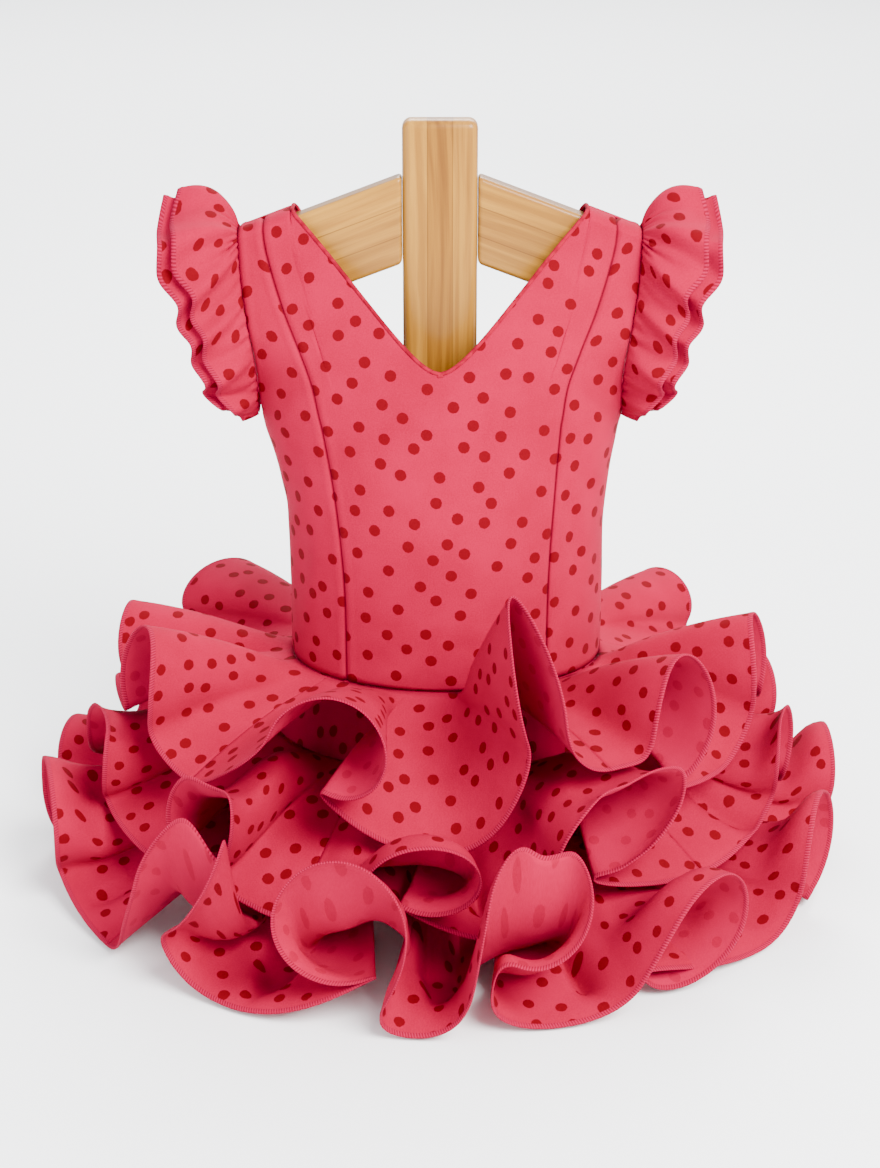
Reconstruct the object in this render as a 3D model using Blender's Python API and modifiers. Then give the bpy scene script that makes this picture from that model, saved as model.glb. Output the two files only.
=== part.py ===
"""A child's flamenco dress, filled out on a wooden display stand.

Metres, +Z up. The dress faces -Y, and the origin is under the middle of the stand's base.
Bearings are measured round the dress in degrees: 0 at the front, 90 at the wearer's left (+X).
"""
import math

import bpy
import numpy as np

WALL = 0.0012  # cloth thickness
SEAM_GAP = 0.0003  # between pieces that are sewn together

POST_WIDTH = 0.051
POST_DEPTH = 0.022
POST_TOP = 0.546
POST_CORNER = 0.006
ARM_DEPTH = 0.020
ARM_BOARD = 0.056  # width of the arm boards, across their length
ARM_REACH = 0.190  # from the stand's middle to an arm's tip
ARM_TOP = 0.5184  # height of the arms' upper edges, carried on to the stand's middle
ARM_FALL = 0.375  # how far the arms sink for each metre outwards
BOARD_EDGE = 0.003
BASE_SIZE = (0.250, 0.190, 0.018)
BASE_EDGE = 0.002

HIP = 0.1600  # height of the low hip seam
SHOULDER = 0.5242  # height of the shoulder seams, carried on to the middle
# Sections of the bodice. The shoulders fall outwards, so height is at the middle and fall is the
# drop for each metre sideways. The side is where the armhole, or below it the side seam, runs.
SECTION_NAMES = ("height", "half_width", "front_depth", "back_depth", "fall", "side", "princess", "shift")
SECTIONS = (
    (0.1604, 0.1125, 0.0785, 0.0785, 0.0, 0.1125, 0.0710, 0.0045),
    (0.2100, 0.1125, 0.0785, 0.0785, 0.0, 0.1125, 0.0710, 0.0045),
    (0.2550, 0.1120, 0.0780, 0.0770, 0.0, 0.1120, 0.0725, 0.0040),
    (0.3000, 0.1165, 0.0710, 0.0700, 0.0, 0.1165, 0.0765, 0.0030),
    (0.3410, 0.1260, 0.0630, 0.0620, 0.0, 0.1260, 0.0815, 0.0010),
    (0.3520, 0.1285, 0.0620, 0.0600, 0.0, 0.1262, 0.0835, 0.0005),
    (0.3750, 0.1350, 0.0590, 0.0560, 0.02, 0.1268, 0.0875, 0.0),
    (0.4050, 0.1520, 0.0530, 0.0480, 0.08, 0.1290, 0.0960, 0.0),
    (0.4420, 0.1850, 0.0380, 0.0350, 0.20, 0.1325, 0.1060, 0.0),
    (0.4830, 0.2150, 0.0240, 0.0230, 0.33, 0.1360, 0.1145, 0.0),
    (0.5120, 0.2200, 0.0182, 0.0182, 0.375, 0.1376, 0.1195, 0.0),
    (0.5198, 0.2200, 0.0165, 0.0165, 0.375, 0.1378, 0.1200, 0.0),
    (0.5236, 0.2200, 0.0095, 0.0095, 0.375, 0.1378, 0.1200, 0.0),
    (0.5242, 0.2200, 0.0002, 0.0002, 0.375, 0.1378, 0.1200, 0.0),
)
UNDERARM_ROW = 4  # the row of SECTIONS at which the armholes start
BODICE_ROWS = len(SECTIONS) - 1
PANEL_SLIT = 0.0022  # half the gap at a bodice seam, as an angle
LEVEL_STEPS = 1600  # in the search for the neck edge
SEARCH_FROM = 0.2
FRONT_NECK = 0.3845  # lowest point of the front V
BACK_NECK = 0.3250
NECK_ROUND = 0.014  # how far from the middle the V starts to run straight
NECK_HALF = 0.101  # half the neck's width at the shoulder
NECK_SPREAD = (0, 0.06, 0.16, 0.30, 0.48, 0.68, 0.86, 0.955, 0.985, 1)  # columns across it
BINDING = 0.0014  # radius of the rolled neck edge
BINDING_OFF = BINDING + SEAM_GAP + 0.0006  # from the panels' edge to the middle of the roll
FRONT_POINTS = 20  # along each half of the neck edge
BACK_POINTS = 22

# Seams that carry the three flounces, and the flounces' cut widths. The hem radius only turns
# bearings into lengths along a hem.
SEAM_NAMES = ("height", "half_width", "half_depth", "width", "hem_radius")
SEAMS = {
    "upper": (0.1570, 0.1130, 0.0795, 0.125, 0.205),
    "middle": (0.1080, 0.1245, 0.0985, 0.136, 0.225),
    "lower": (0.0600, 0.1385, 0.1225, 0.158, 0.268),
}
SEAM_STAND = 0.0015  # the flounces' sewn edges lie this far outside the skirt they are sewn to
SKIRT_FOOT = 0.045
SKIRT_COLUMNS = 17
SKIRT_SLIT = 0.0015  # half the gap at its side seams, as an angle
ARCH = 0.005  # how far a flounce bows upwards between its seam and its hem

# One row for each standing curl of a hem, as seen from outside. Bearing and height place the middle
# of its mouth. Tilt turns the mouth, and neck says where the mouth closes, clockwise from straight
# down, gap being half its opening there. Root turns the fold's line where it leaves the seam, in
# degrees, and the tucks draw the mouth's first and last points inwards. Then comes the low stretch
# that follows it.
FOLD_NAMES = ("bearing", "height", "half_width", "half_height", "tilt", "neck", "gap", "root",
              "tuck_in", "tuck_out", "dip_bearing", "dip_height", "dip_half")
FOLDS = {
    "upper": (
        (-173, 0.150, 0.026, 0.032, 0, 0, 42, 0, 0, 0, -155, 0.112, 0.012),
        (-128, 0.150, 0.038, 0.026, 0, 0, 50, 0, 0, 0, -108, 0.112, 0.010),
        (-98, 0.152, 0.024, 0.032, 0, 0, 40, 0, 0, 0, -84, 0.146, 0.010),
        (-67, 0.172, 0.025, 0.044, 0, 0, 35, 0, 0, 0, -52, 0.118, 0.012),
        (-21, 0.168, 0.043, 0.040, 0, 58, 24, 0, 0, 0.012, -1, 0.086, 0.034),
        (19.5, 0.208, 0.016, 0.056, -5, -10, 35, -14, 0.008, 0, 32, 0.150, 0.012),
        (48.5, 0.166, 0.028, 0.051, 12, 30, 34, 0, 0, 0, 65, 0.108, 0.010),
        (77, 0.168, 0.022, 0.042, 4, 0, 40, 0, 0, 0, 101, 0.110, 0.012),
        (127, 0.142, 0.028, 0.028, 0, 0, 46, 0, 0, 0, 141, 0.115, 0.010),
        (156, 0.155, 0.024, 0.030, 0, 0, 42, 0, 0, 0, 170, 0.112, 0.010),
    ),
    "middle": (
        (-152, 0.090, 0.028, 0.034, 0, 0, 40, 0, 0, 0, -134, 0.050, 0.014),
        (-116, 0.097, 0.028, 0.034, 0, 0, 40, 0, 0, 0, -97, 0.060, 0.012),
        (-74, 0.118, 0.030, 0.044, 8, 22, 34, 0, 0, 0, -56, 0.062, 0.014),
        (-41, 0.114, 0.027, 0.046, 10, 20, 30, 0, 0, 0, -26, 0.048, 0.016),
        (-2.5, 0.092, 0.039, 0.031, -8, 82, 26, 0, 0, 0.012, 8, 0.040, 0.015),
        (31, 0.122, 0.062, 0.034, -38, 74, 20, 0, 0, 0.014, 50, 0.056, 0.018),
        (74, 0.110, 0.026, 0.040, 0, 0, 40, 0, 0, 0, 88, 0.059, 0.012),
        (105, 0.095, 0.028, 0.034, 0, 0, 40, 0, 0, 0, 122, 0.050, 0.012),
        (139, 0.090, 0.028, 0.034, 0, 0, 40, 0, 0, 0, 156, 0.050, 0.014),
        (174, 0.090, 0.028, 0.034, 0, 0, 40, 0, 0, 0, 191, 0.050, 0.014),
    ),
    "lower": (
        (-166, 0.050, 0.032, 0.034, 0, 0, 34, 0, 0, 0, -149, 0.004, 0.018),
        (-132, 0.050, 0.032, 0.034, 0, 0, 34, 0, 0, 0, -115, 0.004, 0.018),
        (-102, 0.044, 0.030, 0.030, 0, 0, 34, 0, 0, 0, -89, 0.010, 0.010),
        (-76, 0.060, 0.044, 0.042, 0, 20, 44, 0, 0, 0, -55, 0.004, 0.016),
        (-38, 0.096, 0.026, 0.058, 26, 12, 26, 0, 0, 0, -30, 0.004, 0.032),
        (-13.5, 0.081, 0.047, 0.050, 0, -58, 10, 0, 0.020, 0, -3.5, 0.003, 0.031),
        (13.5, 0.098, 0.036, 0.048, 10, 54, 16, 0, 0, 0.006, 16, 0.003, 0.044),
        (38, 0.048, 0.035, 0.050, 32, 58, 18, 0, 0, 0.016, 52, 0.004, 0.020),
        (66, 0.054, 0.031, 0.048, 8, 20, 30, 0, 0, 0, 80, 0.004, 0.014),
        (94, 0.052, 0.030, 0.036, 0, 0, 34, 0, 0, 0, 110, 0.004, 0.018),
        (126, 0.050, 0.032, 0.034, 0, 0, 34, 0, 0, 0, 143, 0.004, 0.018),
        (160, 0.050, 0.032, 0.034, 0, 0, 34, 0, 0, 0, 177, 0.004, 0.018),
    ),
}
MOUTH_POINTS = 8
TUCK_FADE = 2.5  # how soon a tuck ends round a mouth
CORNER_CUTS = 3  # times that the hem's corners are rounded
HEM_POINTS = 2400  # once round a hem
LEAST_ROOM = 0.0004  # keeps the radius real where a fold is as long as the flounce is wide
# Bearings of the low stretches in which the pieces of each flounce are joined
JOINS = {"upper": (-108, -52, 32, 101), "middle": (-97, -26, 50, 122), "lower": (-89, -55, 80, 143)}
JOIN_INSET = 0.0004  # how far each piece stops short of a join
COLUMN_STEP = 0.023  # along a hem
FLOUNCE_SHARES = (0, 0.38, 0.66, 0.86, 1)  # rows of points between the seam and the hem

# A flounce is laid under the one above it on a grid of bearings and radii
CELL_RADIUS = 0.004
GRID_RADII = 84
GRID_BEARINGS = 240
FINE_POINTS = (3000, 49)  # round a flounce and across it, for the grid
LAYER_GAP = 0.0038  # between the middles of two layers of cloth
LEAST_PRESSED = 0.006  # what stays of a fold's height when it is pressed flat
FLOOR_GAP = 0.0022  # from the floor to the middle of the lowest hem

# The ruffles round the armholes, from the underarm at the front over the shoulder to the back.
# Along runs 0 to 1 up the front edge. The hem is given for the outer layer on the +X side.
RUFFLE_NAMES = ("along", "hem_x", "hem_y", "hem_z")
RUFFLE = (
    (0.00, 0.1390, 0.020, 0.3440),
    (0.15, 0.1490, 0.037, 0.3570),
    (0.40, 0.1600, 0.047, 0.3920),
    (0.65, 0.1700, 0.046, 0.4320),
    (0.85, 0.1815, 0.037, 0.4680),
    (1.00, 0.1805, 0.000, 0.4920),
)
RUFFLE_WAVES = 11
RUFFLE_WAVE = 0.0055
RUFFLE_ARCH = (0.0035, 0.0075)  # how far a ruffle bows out, and how much more at the shoulder
RUFFLE_COLUMNS = 56
RUFFLE_SHARES = (0, 0.3, 0.65, 1)  # rows of points between the seam and the hem
# From the armhole's edge to the ruffles' sewn edges, for a share of the way up the armhole
RUFFLE_STAND = ((0.0, 0.06, 0.14, 1.0), (0.0038, 0.0030, 0.0014, 0.0010))
RUFFLE_LAYERS = 0.0022  # between the two ruffles at their sewn edges
HEM_LAYERS = 0.0078
UNDER_LONGER = 1.16  # the under ruffle's depth as a share of the outer one's

CLOTH = (0.86, 0.10, 0.16, 1.0)
BINDING_RED = (0.70, 0.07, 0.16, 1.0)
WOOD = (0.62, 0.36, 0.13, 1.0)


def clear_scene():
    for thing in list(bpy.data.objects):
        bpy.data.objects.remove(thing, do_unlink=True)


def new_collection(name):
    made = bpy.data.collections.new(name)
    bpy.context.scene.collection.children.link(made)
    return made


def finish_material(name, colour, roughness, coat=0.0):
    made = bpy.data.materials.new(name)
    made.use_nodes = True
    shader = made.node_tree.nodes["Principled BSDF"]
    shader.inputs["Base Color"].default_value = colour
    shader.inputs["Roughness"].default_value = roughness
    shader.inputs["Metallic"].default_value = 0.0
    shader.inputs["Coat Weight"].default_value = coat
    return made


def place(thing, collection, colour, roughness, coat=0.0):
    collection.objects.link(thing)
    thing.data.materials.append(finish_material(thing.name, colour, roughness, coat))
    return thing


def column(table, names, name):
    return np.array([row[names.index(name)] for row in table])


# Sheets of cloth

def sheet(name, grid, collection):
    """An open surface through a grid of points, given its wall by Solidify."""
    rows, columns, _ = grid.shape
    corners = [(r * columns + c, r * columns + c + 1, (r + 1) * columns + c + 1, (r + 1) * columns + c)
               for r in range(rows - 1) for c in range(columns - 1)]
    mesh = bpy.data.meshes.new(name)
    mesh.from_pydata(grid.reshape(-1, 3).tolist(), [], corners)
    mesh.shade_smooth()
    cloth = place(bpy.data.objects.new(name, mesh), collection, CLOTH, 0.85)
    wall = cloth.modifiers.new("Wall", "SOLIDIFY")
    wall.thickness = WALL
    wall.offset = 0.0
    return cloth


# Bodice

def section(level, name):
    """A value of the bodice's section at a level from 0, the hip seam, to 1, the shoulder seam."""
    levels = np.linspace(0, 1, len(SECTIONS))
    return np.interp(level, levels, column(SECTIONS, SECTION_NAMES, name))


def bodice_point(level, angle, back=False):
    """A point of the bodice's middle surface; angle is measured from the front, or from the back."""
    x = section(level, "half_width") * np.sin(angle)
    y = section(level, "back_depth" if back else "front_depth") * np.cos(angle)
    z = section(level, "height") - section(level, "fall") * np.abs(x)
    return np.stack([x + section(level, "shift"), y if back else -y, z], -1)


def edge_angle(level, name):
    """The angle of the princess seam, the armhole or the side seam at a level."""
    share = section(level, name) / section(level, "half_width")
    return np.arcsin(np.minimum(share, 1.0))


def neck_height(x, lowest):
    top = SHOULDER - ARM_FALL * NECK_HALF
    rise = (top - lowest) / (math.hypot(NECK_HALF, NECK_ROUND) - NECK_ROUND)
    return lowest + rise * (np.hypot(x, NECK_ROUND) - NECK_ROUND)


def top_level(angle_at, lowest, back):
    """The level at which a column of the bodice meets the neck edge, or 1 at the shoulder seam."""
    levels = np.linspace(SEARCH_FROM, 1.0, LEVEL_STEPS + 1)
    points = bodice_point(levels, angle_at(levels), back)
    above = points[:, 2] > neck_height(points[:, 0] - section(levels, "shift"), lowest)
    inside = np.abs(points[:, 0]) < NECK_HALF
    crossed = np.nonzero(above & inside)[0]
    return levels[crossed[0]] if len(crossed) else 1.0


def bodice_panel(name, collection, shares, inner, outer, lowest, back):
    """A panel between two edges, each given as an angle for a level."""
    columns = []
    for share in shares:
        def angle_at(level, share=share):
            return inner(level) + (outer(level) - inner(level)) * share
        top = top_level(angle_at, lowest, back)
        levels = np.linspace(0.0, top, BODICE_ROWS + 1)
        columns.append(bodice_point(levels, angle_at(levels), back))
    return sheet(name, np.stack(columns, 1), collection)


def make_bodice(collection):
    corner = NECK_HALF / SECTIONS[-1][SECTION_NAMES.index("princess")]
    spread = np.array(NECK_SPREAD)
    half = np.concatenate([spread * corner, np.linspace(corner, 1, 3)[1:]])
    middle = np.concatenate([-half[::-1], half[1:]])
    bodice_panel("bodice_front", collection, (middle + 1) / 2,
                 lambda level: PANEL_SLIT - edge_angle(level, "princess"),
                 lambda level: edge_angle(level, "princess") - PANEL_SLIT, FRONT_NECK, False)
    back_corner = NECK_HALF / SECTIONS[-1][SECTION_NAMES.index("side")]
    back_shares = np.concatenate([spread * back_corner, np.linspace(back_corner, 1, 6)[1:]])
    for side, sign in (("left", 1), ("right", -1)):
        bodice_panel(f"bodice_side_front_{side}", collection, np.linspace(0, 1, 6),
                     lambda level: sign * (edge_angle(level, "princess") + PANEL_SLIT),
                     lambda level: sign * (edge_angle(level, "side") - PANEL_SLIT), FRONT_NECK, False)
        bodice_panel(f"bodice_back_{side}", collection, back_shares,
                     lambda level: sign * PANEL_SLIT,
                     lambda level: sign * (edge_angle(level, "side") - PANEL_SLIT), BACK_NECK, True)


def neck_line(lowest, back, sign, count):
    """Points down the neck edge from a shoulder to the middle, set off from it into the opening."""
    first = np.interp(lowest, column(SECTIONS, SECTION_NAMES, "height"), np.linspace(0, 1, len(SECTIONS)))
    reaches = np.linspace(0, NECK_HALF + 0.002, 2001)
    points, normals = [], []
    step = 1e-3
    for share in np.linspace(1, 0, count):
        level = first + (1 - first) * share ** 2
        over = section(level, "height") - section(level, "fall") * reaches - neck_height(reaches, lowest)
        reach = np.interp(0.0, -over, reaches)
        angle = sign * math.asin(reach / section(level, "half_width"))
        up = bodice_point(level, angle, back) - bodice_point(level - step, angle, back)
        across = bodice_point(level, angle + step, back) - bodice_point(level, angle - step, back)
        points.append(bodice_point(level, angle, back))
        normals.append(np.cross(up, across))
    points = np.array(points)
    into = np.cross(np.gradient(points, axis=0), normals)
    into /= np.linalg.norm(into, axis=1, keepdims=True)
    into *= np.sign(into @ [-sign, 0.0, 1.0])[:, None]
    return points + into * BINDING_OFF


def make_binding(collection):
    """The rolled edge round the neck, just past the panels' edges."""
    front = [neck_line(FRONT_NECK, False, sign, FRONT_POINTS) for sign in (1, -1)]
    back = [neck_line(BACK_NECK, True, sign, BACK_POINTS) for sign in (1, -1)]
    path = np.vstack([front[0], front[1][::-1][1:], back[1][1:], back[0][::-1][1:-1]])
    roll = bpy.data.curves.new("neck_binding", "CURVE")
    roll.dimensions = "3D"
    line = roll.splines.new("POLY")
    line.points.add(len(path) - 1)
    for point, at in zip(line.points, path):
        point.co = (*at, 1.0)
    line.use_cyclic_u = True
    roll.bevel_depth = BINDING
    roll.bevel_resolution = 1
    place(bpy.data.objects.new("neck_binding", roll), collection, BINDING_RED, 0.7)


# Sleeve ruffles

def armhole_edge(along, back):
    """Points up an armhole's edge on the +X side, from the underarm to the shoulder."""
    lowest = UNDERARM_ROW / (len(SECTIONS) - 1)
    levels = lowest + (1 - lowest) * along
    return bodice_point(levels, edge_angle(levels, "side"), back)


def ruffle_grid(under):
    """The ruffle on the +X side, as rows from the armhole to the hem."""
    steps = np.linspace(-1, 1, RUFFLE_COLUMNS + 1)
    along = 1 - np.abs(steps)
    is_back = steps > 0
    seam = np.where(is_back[:, None], armhole_edge(along, True), armhole_edge(along, False))
    turn = np.where(is_back, 1.0, -1.0)
    places = column(RUFFLE, RUFFLE_NAMES, "along")
    hem = np.stack([np.interp(along, places, column(RUFFLE, RUFFLE_NAMES, name))
                    for name in ("hem_x", "hem_y", "hem_z")], 1)
    hem[:, 1] *= turn
    outwards = hem - seam
    run = np.gradient(seam + 0.5 * outwards, axis=0)
    normal = np.cross(outwards, run)
    normal /= np.linalg.norm(normal, axis=1, keepdims=True)
    reach = outwards / np.linalg.norm(outwards, axis=1, keepdims=True)
    layer = -0.5 if under else 0.5
    stand = np.interp(along, *RUFFLE_STAND)[:, None]
    start = seam + reach * stand + normal * RUFFLE_LAYERS * layer
    hem = seam + outwards * (UNDER_LONGER if under else 1.0) + normal * HEM_LAYERS * layer
    fade = np.minimum(1, 4 * along + 0.15)
    wave = RUFFLE_WAVE * fade * np.sin(math.pi * RUFFLE_WAVES * steps + 0.6)
    rows = []
    for share in RUFFLE_SHARES:
        reached = min(1, share * (UNDER_LONGER if under else 1))
        bow = 4 * reached * (1 - reached) * fade * (RUFFLE_ARCH[0] + RUFFLE_ARCH[1] * along ** 3)
        rows.append(start + (hem - start) * share + normal * (wave * share + bow)[:, None])
    return np.stack(rows)


def make_ruffles(collection):
    for layer, under in (("outer", False), ("under", True)):
        grid = ruffle_grid(under)
        sheet(f"sleeve_ruffle_{layer}_left", grid, collection)
        sheet(f"sleeve_ruffle_{layer}_right", grid * [-1, 1, 1], collection)


# Skirt and flounces

def seam_value(tier, name):
    return SEAMS[tier][SEAM_NAMES.index(name)]


def hem_control(tier):
    """Corner points of the hem, as lengths along it and heights, from one fold to the next."""
    radius = seam_value(tier, "hem_radius")
    points = []
    for row in FOLDS[tier]:
        fold = dict(zip(FOLD_NAMES, row))
        around = np.radians(np.linspace(fold["neck"] + fold["gap"],
                                        fold["neck"] + 360 - fold["gap"], MOUTH_POINTS))
        side = -fold["half_width"] * np.sin(around)
        rise = -fold["half_height"] * np.cos(around)
        share = np.linspace(0, 1, MOUTH_POINTS)
        tuck = (fold["tuck_in"] * np.maximum(0, 1 - share * TUCK_FADE)
                + fold["tuck_out"] * np.maximum(0, 1 - (1 - share) * TUCK_FADE))
        tilt = math.radians(fold["tilt"])
        middle = math.radians(fold["bearing"]) * radius
        points += zip(middle + side * math.cos(tilt) + rise * math.sin(tilt),
                      fold["height"] - side * math.sin(tilt) + rise * math.cos(tilt), tuck)
        dip = math.radians(fold["dip_bearing"]) * radius
        points += [(dip - fold["dip_half"], fold["dip_height"], fold["tuck_out"] / 2),
                   (dip + fold["dip_half"], fold["dip_height"], 0.0)]
    return np.array(points)


def rounded_loop(points, once_round):
    """Cuts the corners of a loop. The loop closes a whole turn further on."""
    for _ in range(CORNER_CUTS):
        step = np.roll(points, -1, axis=0) - points
        step[-1, 0] += once_round
        points = np.stack([points + step / 4, points + step * 3 / 4], 1).reshape(-1, 3)
    return np.vstack([points, points[:1] + [once_round, 0, 0]])


def hem_line(tier):
    """Bearing, height, seam bearing and tuck at even steps along the hem, once round."""
    radius = seam_value(tier, "hem_radius")
    loop = rounded_loop(hem_control(tier), 2 * math.pi * radius)
    along = np.concatenate([[0], np.cumsum(np.hypot(*np.diff(loop[:, :2], axis=0).T))])
    even = np.linspace(0, along[-1], HEM_POINTS + 1)
    bearing = np.interp(even, along, loop[:, 0]) / radius
    height = np.interp(even, along, loop[:, 1])
    tuck = np.interp(even, along, loop[:, 2])
    reach = HEM_POINTS // len(FOLDS[tier])
    weights = np.hanning(2 * reach + 1)
    turns = np.concatenate([bearing[:-1] + turn * 2 * math.pi for turn in (-1, 0, 1)])
    seam = np.convolve(turns, weights / weights.sum(), mode="same")[HEM_POINTS:2 * HEM_POINTS + 1]
    # the seam's bearings are drawn towards each fold's root
    for number, row in enumerate(FOLDS[tier]):
        middle = along[(number * (MOUTH_POINTS + 2) + MOUTH_POINTS // 2) * 2 ** CORNER_CUTS]
        apart = (even - middle + along[-1] / 2) % along[-1] - along[-1] / 2
        near = np.clip(np.abs(apart) / along[-1] * len(FOLDS[tier]), 0, 1)
        seam = seam + math.radians(row[FOLD_NAMES.index("root")]) * (1 + np.cos(math.pi * near)) / 2
    return bearing, height, seam, tuck


def flounce_points(tier, places, shares):
    """Points of a flounce at places round it, 0 to 1, and shares of its width, seam to hem."""
    bearing, height, seam, tuck = (np.interp(places, np.linspace(0, 1, len(line)), line)
                                   for line in hem_line(tier))
    across = (seam_value(tier, "half_width") + SEAM_STAND) * np.sin(seam)
    deep = -(seam_value(tier, "half_depth") + SEAM_STAND) * np.cos(seam)
    top = seam_value(tier, "height")
    # the hem's radius follows from the flounce's width, which its folds do not change
    level = across * np.sin(bearing) - deep * np.cos(bearing)
    room = level ** 2 - across ** 2 - deep ** 2 - (height - top) ** 2 + seam_value(tier, "width") ** 2
    radius = level + np.sqrt(np.maximum(room, LEAST_ROOM)) - tuck
    start = np.stack([across, deep, np.full_like(across, top)], 1)
    end = np.stack([radius * np.sin(bearing), -radius * np.cos(bearing), height], 1)
    shares = np.asarray(shares)[:, None, None]
    points = start + (end - start) * shares
    points[..., 2] += (ARCH * 4 * shares * (1 - shares))[..., 0]
    return points


def height_grid(points, pick, empty):
    """The lowest or highest cloth over each cell of a grid of bearings and radii."""
    bearing = np.arctan2(points[..., 0], -points[..., 1]).ravel() / (2 * math.pi) * GRID_BEARINGS
    radius = np.hypot(points[..., 0], points[..., 1]).ravel() / CELL_RADIUS
    cells = np.full((GRID_BEARINGS, GRID_RADII), empty)
    pick.at(cells, (np.round(bearing).astype(int) % GRID_BEARINGS, np.round(radius).astype(int)),
            points[..., 2].ravel())
    return cells


def spread_cells(cells, pick, around, outwards):
    """Takes the lowest or highest value of so many neighbouring cells too."""
    for axis, times in ((0, around), (1, outwards)):
        for _ in range(times):
            cells = pick(cells, pick(np.roll(cells, 1, axis), np.roll(cells, -1, axis)))
    return cells


def softened(cells, times):
    for _ in range(times):
        cells = cells / 2 + (np.roll(cells, 1, 0) + np.roll(cells, -1, 0)) / 4
        cells = cells / 2 + (np.roll(cells, 1, 1) + np.roll(cells, -1, 1)) / 4
    return cells


def read_cells(cells, points):
    bearing = (np.arctan2(points[..., 0], -points[..., 1]) / (2 * math.pi) * GRID_BEARINGS) % GRID_BEARINGS
    radius = np.hypot(points[..., 0], points[..., 1]) / CELL_RADIUS
    b0, r0 = np.floor(bearing).astype(int), np.floor(radius).astype(int)
    tb, tr = bearing - b0, radius - r0
    b0, b1 = b0 % GRID_BEARINGS, (b0 + 1) % GRID_BEARINGS
    return ((cells[b0, r0] * (1 - tb) + cells[b1, r0] * tb) * (1 - tr)
            + (cells[b0, r0 + 1] * (1 - tb) + cells[b1, r0 + 1] * tb) * tr)


class Pressed:
    """Lays a flounce under the finished one above it, squeezing its folds where they would meet."""

    def __init__(self, fine, cover):
        high = 1.0
        top = height_grid(fine, np.maximum, -high)
        bottom = height_grid(fine, np.minimum, high)
        known = top > -high
        top = spread_cells(top, np.maximum, 1, 1)
        bottom = spread_cells(bottom, np.minimum, 1, 1)
        limit = spread_cells(height_grid(cover, np.minimum, high), np.minimum, 1, 1) - LAYER_GAP
        down = np.where(known, np.maximum(0, top - limit), 0)
        self.down = softened(spread_cells(down, np.maximum, 2, 3), 2)
        self.top = np.where(top > -high, top, 0)
        self.bottom = np.where(bottom < high, bottom, 0)

    def __call__(self, points):
        down = read_cells(self.down, points)
        top = np.maximum(read_cells(self.top, points), points[..., 2])
        foot = np.minimum(read_cells(self.bottom, points), top - down) - LEAST_PRESSED
        squeeze = (top - down - foot) / (top - foot)
        laid = points.copy()
        laid[..., 2] = np.maximum(foot + (points[..., 2] - foot) * squeeze, FLOOR_GAP)
        return laid


def join_places(tier):
    """Places round a flounce, 0 to 1, where its pieces are joined."""
    bearing, height, _, _ = hem_line(tier)
    radius = seam_value(tier, "hem_radius")
    found = []
    for join in JOINS[tier]:
        low = next(row[FOLD_NAMES.index("dip_height")] for row in FOLDS[tier]
                   if (row[FOLD_NAMES.index("dip_bearing")] - join) % 360 == 0)
        away = (bearing - math.radians(join) + math.pi) % (2 * math.pi) - math.pi
        found.append(np.argmin(np.hypot(away * radius, height - low)) / (len(bearing) - 1))
    return sorted(found)


def make_flounces(collection):
    cover = None
    for tier in SEAMS:
        fine = flounce_points(tier, np.arange(FINE_POINTS[0]) / FINE_POINTS[0], np.linspace(0, 1, FINE_POINTS[1]))
        lay = Pressed(fine, cover) if cover is not None else np.copy
        bearing, height, _, _ = hem_line(tier)
        length = np.hypot(np.diff(bearing) * seam_value(tier, "hem_radius"), np.diff(height)).sum()
        joins = join_places(tier)
        for cut, (begin, end) in enumerate(zip(joins, joins[1:] + [joins[0] + 1])):
            steps = round((end - begin) * length / COLUMN_STEP)
            grid = lay(flounce_points(tier, np.linspace(begin, end, steps + 1) % 1, FLOUNCE_SHARES))
            for edge, inner in ((0, 1), (-1, -2)):
                inwards = grid[:, inner] - grid[:, edge]
                inwards /= np.linalg.norm(inwards, axis=1, keepdims=True)
                grid[:, edge] += inwards * JOIN_INSET
            sheet(f"flounce_{tier}_{cut + 1}", grid, collection)
        cover = lay(fine)


def make_skirt(collection):
    """The plain skirt that carries the flounces, in a front and a back."""
    heights, widths, depths = [HIP - SEAM_GAP], [SECTIONS[0][1]], [SECTIONS[0][2]]
    for tier in SEAMS:
        heights.append(seam_value(tier, "height"))
        widths.append(seam_value(tier, "half_width"))
        depths.append(seam_value(tier, "half_depth"))
    carry_on = 1 + (heights[-1] - SKIRT_FOOT) / (heights[-2] - heights[-1])
    heights.append(SKIRT_FOOT)
    widths.append(widths[-2] + (widths[-1] - widths[-2]) * carry_on)
    depths.append(depths[-2] + (depths[-1] - depths[-2]) * carry_on)
    for name, middle in (("front", 0.0), ("back", math.pi)):
        angles = middle + np.linspace(SKIRT_SLIT - math.pi / 2, math.pi / 2 - SKIRT_SLIT, SKIRT_COLUMNS)
        rows = [np.stack([wide * np.sin(angles), -deep * np.cos(angles), np.full_like(angles, high)], 1)
                for high, wide, deep in zip(heights, widths, depths)]
        sheet(f"skirt_{name}", np.stack(rows), collection)


# Stand

def board(name, size, centre, edge, collection):
    bpy.ops.mesh.primitive_cube_add(size=1, location=centre)
    made = bpy.context.active_object
    made.name = made.data.name = name
    made.data.transform(((size[0], 0, 0, 0), (0, size[1], 0, 0), (0, 0, size[2], 0), (0, 0, 0, 1)))
    for parent in list(made.users_collection):
        parent.objects.unlink(made)
    place(made, collection, WOOD, 0.35, 0.5)
    round_edges(made, edge)
    return made


def round_edges(thing, edge):
    bevel = thing.modifiers.new("Rounded edges", "BEVEL")
    bevel.width = edge
    bevel.segments = 2
    thing.data.shade_smooth()
    thing.data.set_sharp_from_angle(angle=math.radians(40))


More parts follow.
